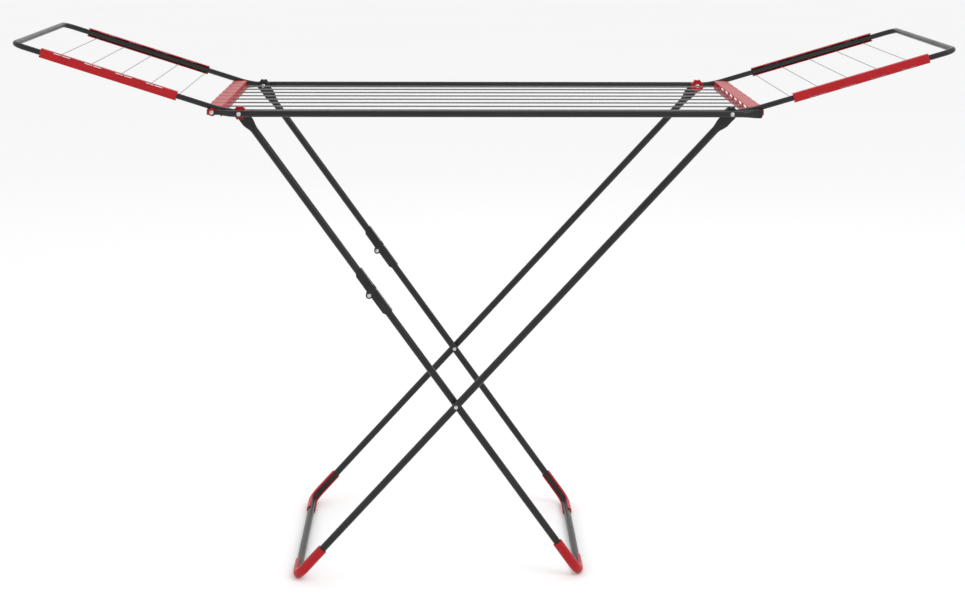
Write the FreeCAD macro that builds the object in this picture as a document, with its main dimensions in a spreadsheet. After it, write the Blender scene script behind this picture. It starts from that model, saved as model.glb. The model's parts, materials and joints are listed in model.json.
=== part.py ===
import FreeCAD, Part

import math
import os

import Sketcher
from FreeCAD import Placement, Rotation, Vector

# Winged clothes drying rack: a flat top frame with eight lines, two folding
# wings and two crossed leg frames, one of which has a knee so that it all
# folds flat.  Millimetres.  +Z is up, z = 0 is the floor, x runs along the
# rack and y across it.  "Front" is the side at negative y, "left" is at
# negative x.  "Outside" of a lane is the side with the larger |y|.

DRIVING_SIZES = (
    # top frame
    ("frame_height", 978.0),      # floor to the axis of the long tubes
    ("frame_lane", 268.0),        # middle of the rack to a long tube's axis
    ("frame_tube", 13.0),         # outer diameter of a long tube
    ("frame_wall", 1.0),
    ("pivot_reach", 485.0),       # middle of the rack to a leg pivot
    ("end_rivet_reach", 539.0),   # middle of the rack to a bar rivet
    ("tube_reach", 546.0),        # middle of the rack to a tube's tip
    ("crush_thick", 3.6),         # a long tube pressed flat at its tip
    ("narrow_crush", 44.0),       # tip's rivet to where the round tube starts
    ("broad_crush", 18.0),        # leg pivot to where the broad tip starts
    ("tongue_edge", 2.4),         # metal round the rivet in the narrow tip
    # drying lines
    ("line_dia", 3.0),
    ("line_pitch", 62.0),
    ("line_rise", 1.4),           # lines above the tube axes
    ("line_tail", 2.0),           # line's end past the bar's wall
    # end bars
    ("bar_reach", 521.5),         # middle of the rack to a bar's inner face
    ("bar_wide", 27.5),
    ("bar_wall", 3.0),            # upright wall under the hood's inner edge
    ("bar_half", 243.0),          # middle of the rack to the end of a hood
    ("bar_bottom", -8.5),         # heights from the tube axes
    ("bar_wall_top", 3.5),
    ("hood_bottom", 9.0),
    ("hood_top", 11.0),
    ("bar_post", 18.0),           # width of a post, centred on a line
    ("panel_rise", 1.2),
    ("panel_gap", 1.4),
    ("panel_lip", 1.0),           # panels stand out past the hood's edge
    ("saddle_bottom", -3.5),
    ("saddle_top", 7.0),
    ("saddle_gap", 0.3),          # between the wing tube and its saddle
    ("boss_radius", 8.0),
    ("bar_rivet_rise", 2.0),      # bar rivets above the tube axes
    # wings
    ("wing_lane", 251.0),
    ("wing_tube", 11.0),
    ("wing_wall", 0.9),
    ("wing_bend_reach", 525.0),   # middle of the rack to the bend by the bar
    ("wing_bend_ease", 14.0),     # bend to where the tube is straight again
    ("wing_start_slope", 8.0),    # degrees, pivot to bend
    ("wing_slope", 16.6),         # degrees, bend to end bar
    ("left_wing_lift", 1.2),      # degrees, the left wing stands steeper
    ("wing_reach", 925.0),        # middle of the rack to the wing's end tube
    ("wing_corner", 22.0),        # bend radius of the wing's corners
    ("wing_line_dia", 1.4),
    ("wing_line_first", 612.0),   # middle of the rack to the first line
    ("wing_line_pitch", 59.5),
    ("wing_line_drop", 6.4),      # lines below the wing tube's axis
    # rails clipped on the wing tubes
    ("rail_first", 608.0),
    ("rail_long", 276.0),
    ("rail_tall", 18.0),
    ("rail_web", 2.2),
    ("rail_flange", 1.2),
    ("rail_deep", 11.0),
    ("rail_rib", 3.0),
    ("rib_after_line", 4.0),
    ("slot_tall", 1.6),
    ("slot_long", 15.5),
    ("slot_space", 2.0),          # between the two slots of a pair
    ("slot_before_line", 18.0),   # from a pair's middle to its line
    ("window_deep", 0.7),
    ("window_tall", 9.0),
    # hubs
    ("hub_radius", 12.9),
    ("hub_thick", 12.3),
    ("hub_lobe", 3.0),
    ("hub_lobe_ring", 11.2),      # hub's axis to the middle of a lobe
    ("hub_lobes", 8),
    ("hub_boss", 8.0),            # radius of the spacing bosses
    ("tube_in_hub", 7.0),         # hub's axis to the wing tube's end
    # legs
    ("leg_tube", 15.0),
    ("leg_wall", 1.0),
    ("knee_lane", 233.0),         # leg with the knee, inner frame
    ("straight_lane", 252.5),     # leg in one piece, outer frame
    ("knee_foot_reach", 199.3),   # where each leg's foot tube stands
    ("straight_foot_reach", 390.0),
    ("foot_axis_height", 10.0),
    ("leg_corner", 25.0),
    ("press_step", 0.05),         # the pressed part starts this much inside the round tube
    ("plate_thick", 2.5),         # a leg tube pressed flat at its top
    ("plate_wide", 24.0),
    ("plate_long", 22.0),         # pivot to where the flat part ends
    ("taper_long", 46.0),         # pivot to where the round part starts
    ("drain_hole", 4.0),
    # knee
    ("knee_offset", 10.0),        # knee pin to the leg's axis
    ("knee_gap", 3.0),            # between the two tubes' ends
    ("bracket_long", 54.0),
    ("bracket_wall", 1.2),
    ("lug_radius", 7.0),
    ("knee_pin_dia", 4.4),
    # feet
    ("sleeve_dia", 20.6),
    ("sleeve_leg", 80.0),         # corner to the sleeve's end, up the leg
    ("sleeve_bar", 88.0),         # the same along the foot tube
    ("sleeve_opening", 52.0),     # half of the open angle, degrees
    # rivets and fits
    ("pivot_rivet_dia", 6.0),
    ("cross_rivet_dia", 5.0),
    ("bar_rivet_dia", 4.4),
    ("head_dia", 8.4),
    ("head_tall", 2.6),
    ("small_head_dia", 8.0),
    ("small_head_tall", 1.3),
    ("run_clearance", 0.05),      # radial, shaft in a hole it turns in
    ("rivet_fit", 0.02),          # radial, rivet in a hole it fills
    ("side_clearance", 0.2),      # between faces that slide past each other
    ("clip_clearance", 0.1),      # between a tube and what clips round it
)

doc = FreeCAD.newDocument("drying_rack")
sheet = doc.addObject("Spreadsheet::Sheet", "sizes")
for row, (alias, number) in enumerate(DRIVING_SIZES, start=1):
    sheet.set("A%d" % row, alias)
    sheet.set("B%d" % row, str(number))
    sheet.setAlias("B%d" % row, alias)
doc.recompute()

NODES = {}          # node name -> the document object whose shape it is
LINES = 8
WING_LINES = 5
SQUARENESS = 2.6    # exponent of a pressed tip's superellipse; 2 is an ellipse
X_AXIS = Vector(1, 0, 0)
Y_AXIS = Vector(0, 1, 0)
Z_AXIS = Vector(0, 0, 1)
HALF_TURN = Rotation(Z_AXIS, 180)


def size(alias):
    """The value of one cell of the sheet."""
    return float(sheet.get(alias))


def cell(alias):
    """The same cell as an expression, for setExpression."""
    return "<<sizes>>.%s" % alias


def node(name, thing):
    """Label a finished object and list it as one node."""
    thing.Label = name
    NODES[name] = thing
    return thing


# ---------------------------------------------------------------- primitives

def cylinder(name, radius, height, base, direction):
    """A cylinder with its radius and height bound to expressions."""
    thing = doc.addObject("Part::Cylinder", name)
    thing.setExpression("Radius", radius)
    thing.setExpression("Height", height)
    thing.Placement = Placement(base, Rotation(Z_AXIS, direction))
    return thing


def fused(name, parts):
    thing = doc.addObject("Part::MultiFuse", name)
    thing.Shapes = parts
    return thing


def cut(name, base, tools):
    """base with every tool taken away."""
    for number, tool in enumerate(tools):
        thing = doc.addObject("Part::Cut", "%s_cut%d" % (name, number))
        thing.Base = base
        thing.Tool = tool
        base = thing
    return base


def group(name, parts):
    """Separate solids kept in one object."""
    thing = doc.addObject("Part::Compound", name)
    thing.Links = parts
    return thing


def mirrored(name, source, normal=Y_AXIS):
    thing = doc.addObject("Part::Mirroring", name)
    thing.Source = source
    thing.Normal = normal
    return thing


def turned(name, source):
    """source turned half a turn about the rack's vertical middle line."""
    thing = doc.addObject("Part::Compound", name)
    thing.Links = [source]
    thing.Placement = Placement(Vector(0, 0, 0), HALF_TURN)
    return thing


def shaped(name, shape):
    """A shape that has no feature of its own: bent or pressed tube."""
    thing = doc.addObject("Part::Feature", name)
    thing.Shape = shape
    return thing


def rivet_head(name, base, direction, head="head"):
    """Domed head whose flat face is at base and whose top points along direction."""
    dome = doc.addObject("Part::Sphere", name)
    wide, tall = cell("%s_dia" % head), cell("%s_tall" % head)
    round_radius = "((%s / 2)^2 + %s^2) / (2 * %s)" % (wide, tall, tall)
    dome.setExpression("Radius", round_radius)
    dome.setExpression("Angle1", "asin(1 - %s / (%s))" % (tall, round_radius))
    reach, rise = size("%s_dia" % head) / 2, size("%s_tall" % head)
    sunk = (reach ** 2 + rise ** 2) / (2 * rise) - rise
    way = Vector(direction).normalize()
    dome.Placement = Placement(base - way * sunk, Rotation(Z_AXIS, way))
    return dome


def rivet(name, x, z, lane_from, lane_to, shank, heads):
    """Rivet along y from lane_from to lane_to; heads lists the ends that have one."""
    length = abs(lane_to - lane_from)
    way = Vector(0, math.copysign(1, lane_to - lane_from), 0)
    start, finish = Vector(x, lane_from, z), Vector(x, lane_to, z)
    head = "small_head" if shank in ("knee_pin_dia", "cross_rivet_dia") else "head"
    parts = [cylinder(name + "_shank", cell(shank) + " / 2", "%.6f" % length, start, way)]
    if "start" in heads:
        parts.append(rivet_head(name + "_head_a", start, way.negative(), head))
    if "finish" in heads:
        parts.append(rivet_head(name + "_head_b", finish, way, head))
    return fused(name, parts) if len(parts) > 1 else parts[0]


# ------------------------------------------------------------ sketched prisms

def origin_plane(body, role):
    for feature in body.Origin.OriginFeatures:
        if feature.Role == role:
            return feature
    raise RuntimeError("no plane " + role)


def outline(body, role, corners, offset="0"):
    """Closed polygon; every corner is a pair of expressions from the origin."""
    sketch = body.newObject("Sketcher::SketchObject", body.Name + "_outline")
    sketch.AttachmentSupport = (origin_plane(body, role), [""])
    sketch.MapMode = "FlatFace"
    sketch.setExpression("AttachmentOffset.Base.z", offset)
    count = len(corners)
    start = [Vector(10 * math.cos(2 * math.pi * k / count),
                    10 * math.sin(2 * math.pi * k / count), 0) for k in range(count)]
    for k in range(count):
        sketch.addGeometry(Part.LineSegment(start[k], start[(k + 1) % count]), False)
    for k in range(count):
        sketch.addConstraint(Sketcher.Constraint("Coincident", k, 2, (k + 1) % count, 1))
    for k, (across, up) in enumerate(corners):
        for kind, now, wanted in (("DistanceX", start[k].x, across), ("DistanceY", start[k].y, up)):
            index = sketch.addConstraint(Sketcher.Constraint(kind, -1, 1, k, 1, now))
            sketch.setExpression("Constraints[%d]" % index, wanted)
    return sketch


def pad(body, sketch, length, midplane=False):
    """Pad of a sketch; the length is an expression."""
    feature = body.newObject("PartDesign::Pad", body.Name + "_pad")
    feature.Profile = sketch
    feature.Midplane = midplane
    feature.setExpression("Length", length)
    return feature


def rectangle(left, right, low, high):
    return [(left, low), (right, low), (right, high), (left, high)]


# ------------------------------------------------------------- bent tube work

def ring_pipe(edges, outer, wall):
    """Hollow tube of outer radius and wall along a wire of edges."""
    wire = Part.Wire(edges)
    start = wire.Edges[0].valueAt(wire.Edges[0].FirstParameter)
    way = wire.Edges[0].tangentAt(wire.Edges[0].FirstParameter)

    def solid(radius):
        circle = Part.Wire([Part.makeCircle(radius, start, way)])
        return wire.makePipeShell([circle], True, False)

    return solid(outer).cut(solid(outer - wall))


def pressed_section(place, side, up, half_side, half_up, squareness):
    """Closed smooth curve: a superellipse in the plane of side and up."""
    points = []
    count = 24
    for k in range(count):
        turn = 2 * math.pi * k / count
        c, s = math.cos(turn), math.sin(turn)
        across = math.copysign(abs(c) ** (2.0 / squareness), c) * half_side
        rise = math.copysign(abs(s) ** (2.0 / squareness), s) * half_up
        points.append(place + side * across + up * rise)
    curve = Part.BSplineCurve()
    curve.interpolate(points, PeriodicFlag=True)
    return Part.Wire([curve.toShape()])


def pressed_end(stations, squareness=SQUARENESS):
    """Loft through stations (place, half width along y, half height)."""
    wires = [pressed_section(place, Y_AXIS, Z_AXIS, half_y, half_z,
                             2.0 if number == 0 else squareness)
             for number, (place, half_y, half_z) in enumerate(stations)]
    return Part.makeLoft(wires, True, False)


def y_cylinder(x, z, radius, low, high):
    """Plain cylinder along y between two y values."""
    return Part.makeCylinder(radius, high - low, Vector(x, low, z), Y_AXIS)


# ------------------------------------------------------------------ geometry

HEIGHT = size("frame_height")
LEFT_PIVOT = Vector(-size("pivot_reach"), 0, HEIGHT)
RIGHT_PIVOT = Vector(size("pivot_reach"), 0, HEIGHT)
KNEE_FOOT = Vector(size("knee_foot_reach"), 0, size("foot_axis_height"))
STRAIGHT_FOOT = Vector(-size("straight_foot_reach"), 0, size("foot_axis_height"))


def leg_frame(pivot, foot):
    """Placement whose +X runs down the leg from its pivot, and the leg's length."""
    down = foot - pivot
    turn = math.degrees(math.atan2(-down.z, down.x))
    return Placement(pivot, Rotation(Y_AXIS, turn)), down.Length


KNEE_LEG, KNEE_LEG_LONG = leg_frame(LEFT_PIVOT, KNEE_FOOT)
STRAIGHT_LEG, STRAIGHT_LEG_LONG = leg_frame(RIGHT_PIVOT, STRAIGHT_FOOT)


def crossing_point():
    """Where the two leg axes cross, seen from the front."""
    a, b = KNEE_FOOT - LEFT_PIVOT, STRAIGHT_FOOT - RIGHT_PIVOT
    gap = RIGHT_PIVOT - LEFT_PIVOT
    share = (gap.x * b.z - gap.z * b.x) / (a.x * b.z - a.z * b.x)
    return LEFT_PIVOT + a * share


CROSSING = crossing_point()


def knee_distance():
    """Distance down the leg to the knee, so that the linkage folds flat:
    upper leg + straight leg's upper part = middle link + pivot spacing."""
    straight = (CROSSING - RIGHT_PIVOT).Length
    spacing = (RIGHT_PIVOT - LEFT_PIVOT).Length
    crossing_down = (CROSSING - LEFT_PIVOT).Length
    offset = size("knee_offset")
    low, high = 0.0, crossing_down
    for _ in range(60):
        middle = (low + high) / 2
        upper = math.hypot(middle, offset)
        link = math.hypot(crossing_down - middle, offset)
        if upper + straight < link + spacing:
            low = middle
        else:
            high = middle
    return middle


KNEE_DOWN = knee_distance()
KNEE_PIN = KNEE_LEG.multVec(Vector(KNEE_DOWN, 0, -size("knee_offset")))
print("crossing", CROSSING, "knee pin", KNEE_PIN)

WING_BEND = RIGHT_PIVOT + Vector(
    size("wing_bend_reach") - size("pivot_reach"), 0,
    (size("wing_bend_reach") - size("pivot_reach")) * math.tan(math.radians(size("wing_start_slope"))))
WING_OUT = Vector(math.cos(math.radians(size("wing_slope"))), 0, math.sin(math.radians(size("wing_slope"))))
WING_START_OUT = (WING_BEND - RIGHT_PIVOT).normalize()


def on_wing(reach):
    """Point on the right wing's tube axis at this x, past the bend."""
    return WING_BEND + WING_OUT * ((reach - WING_BEND.x) / WING_OUT.x)


# ----------------------------------------------------------------- top frame

def main_tube():
    """Front tube: a narrow riveted tip at the left end, a broad crushed tip
    at the right end; both are pressed towards the inside of the rack."""
    radius = size("frame_tube") / 2
    start_radius = radius - size("press_step")
    lane = -size("frame_lane")
    inner = radius - size("frame_wall")
    rivet_x, rivet_z = -size("end_rivet_reach"), HEIGHT + size("bar_rivet_rise")
    left_round, right_round = rivet_x + size("narrow_crush"), size("pivot_reach") + size("broad_crush")
    tip = size("tube_reach")
    half_thick = size("crush_thick") / 2
    pressed = lane + radius - half_thick
    broad = math.pi * radius * 0.44
    place, long = Vector(left_round, lane, HEIGHT), right_round - left_round
    tube = Part.makeCylinder(radius, long, place, X_AXIS).cut(Part.makeCylinder(inner, long, place, X_AXIS))

    def run(start, finish, half_tall, rise):
        stations = []
        for share in (0.0, 0.25, 0.55, 0.8, 1.0):
            ease = share * share * (3 - 2 * share)
            place = Vector(start + (finish - start) * share, lane + (pressed - lane) * ease, HEIGHT + rise * ease)
            stations.append((place, start_radius + (half_thick - start_radius) * ease,
                             start_radius + (half_tall - start_radius) * ease))
        return pressed_end(stations)

    narrow = size("bar_rivet_dia") / 2 + size("tongue_edge")
    flat_end = rivet_x + size("head_dia") / 2 + size("side_clearance")
    left = run(left_round, flat_end, narrow, size("bar_rivet_rise"))
    flat = pressed_section(Vector(flat_end, pressed, rivet_z), Y_AXIS, Z_AXIS, half_thick, narrow, SQUARENESS)
    tongue = Part.Face(flat).extrude(Vector(rivet_x - flat_end, 0, 0))
    eye = y_cylinder(rivet_x, rivet_z, narrow, pressed - half_thick, pressed + half_thick)
    right = run(right_round, tip, broad, 0.0)
    shape = tube.fuse([left, right, tongue, eye])
    holes = []
    for x, z, alias in ((size("pivot_reach"), HEIGHT, "pivot_rivet_dia"),
                        (size("end_rivet_reach"), rivet_z, "bar_rivet_dia")):
        for side in (-1, 1):
            holes.append(y_cylinder(side * x, z, size(alias) / 2 + size("rivet_fit"), lane - 2 * radius,
                                    lane + 2 * radius))
    return shape.cut(holes)


def wing_slot():
    """Room for the right wing's tube over the end bar, open upwards."""
    radius = size("wing_tube") / 2 + size("saddle_gap")
    lane = size("wing_lane")
    far = on_wing(size("bar_reach") + 2 * size("bar_wide"))
    solids = []
    for y in (-lane, lane):
        shift = Vector(0, y, 0)
        for start, finish in ((RIGHT_PIVOT, WING_BEND), (WING_BEND, far)):
            way = finish - start
            solids.append(Part.makeCylinder(radius, way.Length, start + shift, way))
            corners = [start, finish, finish + Vector(0, 0, 40), start + Vector(0, 0, 40), start]
            face = Part.Face(Part.makePolygon([c + shift - Vector(0, radius, 0) for c in corners]))
            solids.append(face.extrude(Vector(0, 2 * radius, 0)))
        solids.append(Part.makeSphere(radius, WING_BEND + shift))
    return solids[0].fuse(solids[1:])


def panel_row():
    """Eight raised panels along the right bar's hood, one over each line."""
    panels = []
    pitch = 2 * size("bar_half") / LINES
    top = HEIGHT + size("hood_top")
    for number in range(LINES):
        low = -size("bar_half") + pitch * number + size("panel_gap") / 2
        box = Part.makeBox(size("bar_wide") + size("panel_lip"), pitch - size("panel_gap"),
                           size("hood_top") + size("panel_rise") - size("hood_bottom"),
                           Vector(size("bar_reach"), low, HEIGHT + size("hood_bottom")))
        rim = [e for e in box.Edges if e.BoundBox.ZMin > top and e.BoundBox.ZLength < 1e-6]
        panels.append(box.makeFillet(size("panel_rise") * 0.9, rim))
    return panels


def line_y(number):
    """Where one of the eight lines lies across the rack."""
    return (number - (LINES - 1) / 2) * size("line_pitch")


def end_bar(closed):
    """Right end's bar: a wall under the hood's inner edge, open between a
    post at each line or closed all the way up, with a saddle for the wing
    tube at both ends and a rivet boss at the rear end."""
    inner, up = cell("bar_reach"), cell("frame_height") + " + "

    def bar(name, wide, low, high):
        body = doc.addObject("PartDesign::Body", name)
        corners = rectangle(inner, "%s + %s" % (inner, cell(wide)), up + cell(low), up + cell(high))
        pad(body, outline(body, "XZ_Plane", corners), "2 * %s" % cell("bar_half"), True)
        return body

    wall = bar("bar_upright", "bar_wall", "bar_bottom", "hood_bottom" if closed else "bar_wall_top")
    hood = bar("bar_hood", "bar_wide", "hood_bottom", "hood_top")
    posts = []
    for number in range(0 if closed else LINES):
        post = doc.addObject("Part::Box", "bar_post_%d" % number)
        post.setExpression("Length", cell("bar_wall"))
        post.setExpression("Width", cell("bar_post"))
        post.setExpression("Height", "%s - %s + 2" % (cell("hood_bottom"), cell("bar_wall_top")))
        post.setExpression("Placement.Base.x", inner)
        post.setExpression("Placement.Base.y", "%s * %s - %s / 2" % (
            cell("line_pitch"), number - (LINES - 1) / 2, cell("bar_post")))
        post.setExpression("Placement.Base.z", "%s%s - 1" % (up, cell("bar_wall_top")))
        posts.append(post)
    panels = [shaped("bar_panel_%d" % k, panel) for k, panel in enumerate(panel_row())]
    across = "%s - %s / 2 - %s" % (cell("frame_lane"), cell("frame_tube"), cell("side_clearance"))
    ends = []
    for side in (-1, 1):
        end = doc.addObject("Part::Box", "bar_saddle_%s" % ("front" if side < 0 else "rear"))
        end.setExpression("Length", cell("bar_wide"))
        end.setExpression("Width", "%s - %s + 1" % (across, cell("bar_half")))
        end.setExpression("Height", "%s - %s" % (cell("saddle_top"), cell("saddle_bottom")))
        end.setExpression("Placement.Base.x", inner)
        end.setExpression("Placement.Base.y", cell("bar_half") + " - 1" if side > 0 else "-(%s)" % across)
        end.setExpression("Placement.Base.z", up + cell("saddle_bottom"))
        ends.append(end)
    rivet_z = HEIGHT + size("bar_rivet_rise")
    boss_low = size("wing_lane") + size("wing_tube") / 2 + size("saddle_gap")
    boss = cylinder("bar_boss", cell("boss_radius"), "%s - %.6f" % (across, boss_low),
                    Vector(size("end_rivet_reach"), boss_low, rivet_z), Y_AXIS)
    whole = fused("bar_solid", [wall, hood] + posts + panels + ends + [boss])
    tools = [shaped("bar_slot", wing_slot())]
    for number in range(LINES):
        tools.append(cylinder("bar_line_hole_%d" % number,
                              "%s / 2 + %s" % (cell("line_dia"), cell("run_clearance")), cell("bar_wall") + " + 2",
                              Vector(size("bar_reach") - 1, line_y(number), HEIGHT + size("line_rise")), X_AXIS))
    for number, side in enumerate((-1, 1)):
        tools.append(cylinder("bar_rivet_hole_%d" % number,
                              "%s / 2 + %s" % (cell("bar_rivet_dia"), cell("run_clearance")), cell("frame_lane"),
                              Vector(size("end_rivet_reach"), side * size("bar_half"), rivet_z),
                              Vector(0, side, 0)))
    return cut("bar", whole, tools)


side_gap = size("side_clearance")

front_tube = node("main_tube_front", shaped("front_tube", main_tube()))
node("main_tube_rear", turned("rear_tube", front_tube))
node("end_bar_right", end_bar(False))
node("end_bar_left", turned("left_bar", end_bar(True)))

line_end = "%s + %s + %s" % (cell("bar_reach"), cell("bar_wall"), cell("line_tail"))
lines = []
for number in range(LINES):
    line = cylinder("line_%d" % number, cell("line_dia") + " / 2", "2 * (%s)" % line_end,
                    Vector(0, line_y(number), HEIGHT + size("line_rise")), X_AXIS)
    line.setExpression("Placement.Base.x", "-(%s)" % line_end)
    lines.append(line)
node("drying_lines", group("line_set", lines))

# lanes of the stacked parts at the pivots, measured from the middle of the rack
FRAME_INNER = size("frame_lane") - size("frame_tube") / 2
FRAME_OUTER = size("frame_lane") + size("frame_tube") / 2
KNEE_PLATE_OUT = size("knee_lane") + size("leg_tube") / 2
KNEE_PLATE_IN = KNEE_PLATE_OUT - size("plate_thick")
STRAIGHT_PLATE_OUT = size("straight_lane") + size("leg_tube") / 2
STRAIGHT_PLATE_IN = STRAIGHT_PLATE_OUT - size("plate_thick")
HUB_OUT = size("wing_lane") + size("hub_thick") / 2
HUB_IN = size("wing_lane") - size("hub_thick") / 2
RIGHT_BOSS_IN = HUB_IN - 1.2

pivot_rivets, bar_rivets, washers = [], [], []
for side, word in ((-1, "front"), (1, "rear")):
    for x, inner, hand in ((-size("pivot_reach"), KNEE_PLATE_IN, "left"),
                           (size("pivot_reach"), RIGHT_BOSS_IN, "right")):
        pivot_rivets.append(rivet("pivot_%s_%s" % (word, hand), x, HEIGHT, side * (inner - side_gap),
                                  side * FRAME_OUTER, "pivot_rivet_dia", ("start", "finish")))
    ring = cylinder("washer_outer_" + word, "7.5", "%.6f" % (FRAME_INNER - STRAIGHT_PLATE_OUT - side_gap),
                    Vector(size("pivot_reach"), side * FRAME_INNER, HEIGHT), Vector(0, -side, 0))
    hole = cylinder("washer_hole_" + word, "%s / 2 + %s" % (cell("pivot_rivet_dia"), cell("rivet_fit")), "10",
                    Vector(size("pivot_reach"), side * (FRAME_INNER + 1), HEIGHT), Vector(0, -side, 0))
    washers.append(cut("washer_" + word, ring, [hole]))
    tip_out = FRAME_INNER + size("crush_thick")
    start = size("wing_lane") + size("wing_tube") / 2 + 2 * size("saddle_gap")
    for x in (-size("end_rivet_reach"), size("end_rivet_reach")):
        domed = (x < 0) == (side < 0)
        bar_rivets.append(rivet("bar_rivet_%s_%d" % (word, x > 0), x, HEIGHT + size("bar_rivet_rise"),
                                side * start, side * tip_out, "bar_rivet_dia", ("finish",) if domed else ()))
node("pivot_rivets", group("pivot_rivet_set", pivot_rivets))
node("bar_rivets", group("bar_rivet_set", bar_rivets))
node("pivot_washers", group("washer_set", washers))


# --------------------------------------------------------------------- wings

def wing_tube():
    """Right wing's bent tube, from one hub round the end to the other."""
    lane, corner, ease = size("wing_lane"), size("wing_corner"), size("wing_bend_ease")
    before, after = WING_BEND - WING_START_OUT * ease, WING_BEND + WING_OUT * ease
    middle = WING_BEND + (before + after - WING_BEND * 2) * 0.25
    end = on_wing(size("wing_reach"))
    out45 = corner * (1 - math.sqrt(0.5))

    def at(point, y):
        return Vector(point.x, y, point.z)

    front = [at(RIGHT_PIVOT + WING_START_OUT * size("tube_in_hub"), -lane), at(before, -lane), at(middle, -lane),
             at(after, -lane), at(end - WING_OUT * corner, -lane), at(end - WING_OUT * out45, -lane + out45),
             at(end, -lane + corner)]
    half = [Part.LineSegment(front[0], front[1]).toShape(), Part.Arc(*front[1:4]).toShape(),
            Part.LineSegment(front[3], front[4]).toShape(), Part.Arc(*front[4:7]).toShape()]
    across = Part.LineSegment(front[6], at(end, lane - corner)).toShape()
    rear = [edge.mirror(Vector(0, 0, 0), Y_AXIS) for edge in reversed(half)]
    return ring_pipe(half + [across] + rear, size("wing_tube") / 2, size("wing_wall"))


def hub(name, pivot, outer_boss, inner_boss, side, way):
    """Lobed hub round a pivot rivet, bored for the rivet and the wing tube."""
    thick = cell("hub_thick")
    low = Vector(pivot.x, size("wing_lane") - size("hub_thick") / 2, pivot.z)
    solids = [cylinder(name + "_disc", cell("hub_radius"), thick, low, Y_AXIS)]
    for number in range(int(size("hub_lobes"))):
        turn = 2 * math.pi * (number + 0.5) / size("hub_lobes")
        place = low + Vector(math.cos(turn), 0, math.sin(turn)) * size("hub_lobe_ring")
        solids.append(cylinder("%s_lobe_%d" % (name, number), cell("hub_lobe"), thick, place, Y_AXIS))
    solids.append(cylinder(name + "_boss", cell("hub_boss"), "%.6f" % (outer_boss - inner_boss),
                           Vector(pivot.x, inner_boss, pivot.z), Y_AXIS))
    whole = fused(name + "_solid", solids)
    bore = cylinder(name + "_bore", "%s / 2 + %s" % (cell("pivot_rivet_dia"), cell("run_clearance")),
                    "4 * " + thick, Vector(pivot.x, size("wing_lane") - 2 * size("hub_thick"), pivot.z), Y_AXIS)
    socket = cylinder(name + "_socket", "%s / 2 + %s" % (cell("wing_tube"), cell("clip_clearance")),
                      "2 * " + cell("hub_radius"), Vector(pivot.x, size("wing_lane"), pivot.z)
                      + way * (size("tube_in_hub") - size("side_clearance")), way)
    rear = cut(name, whole, [bore, socket])
    return rear if side > 0 else mirrored(name + "_front", rear)


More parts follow.
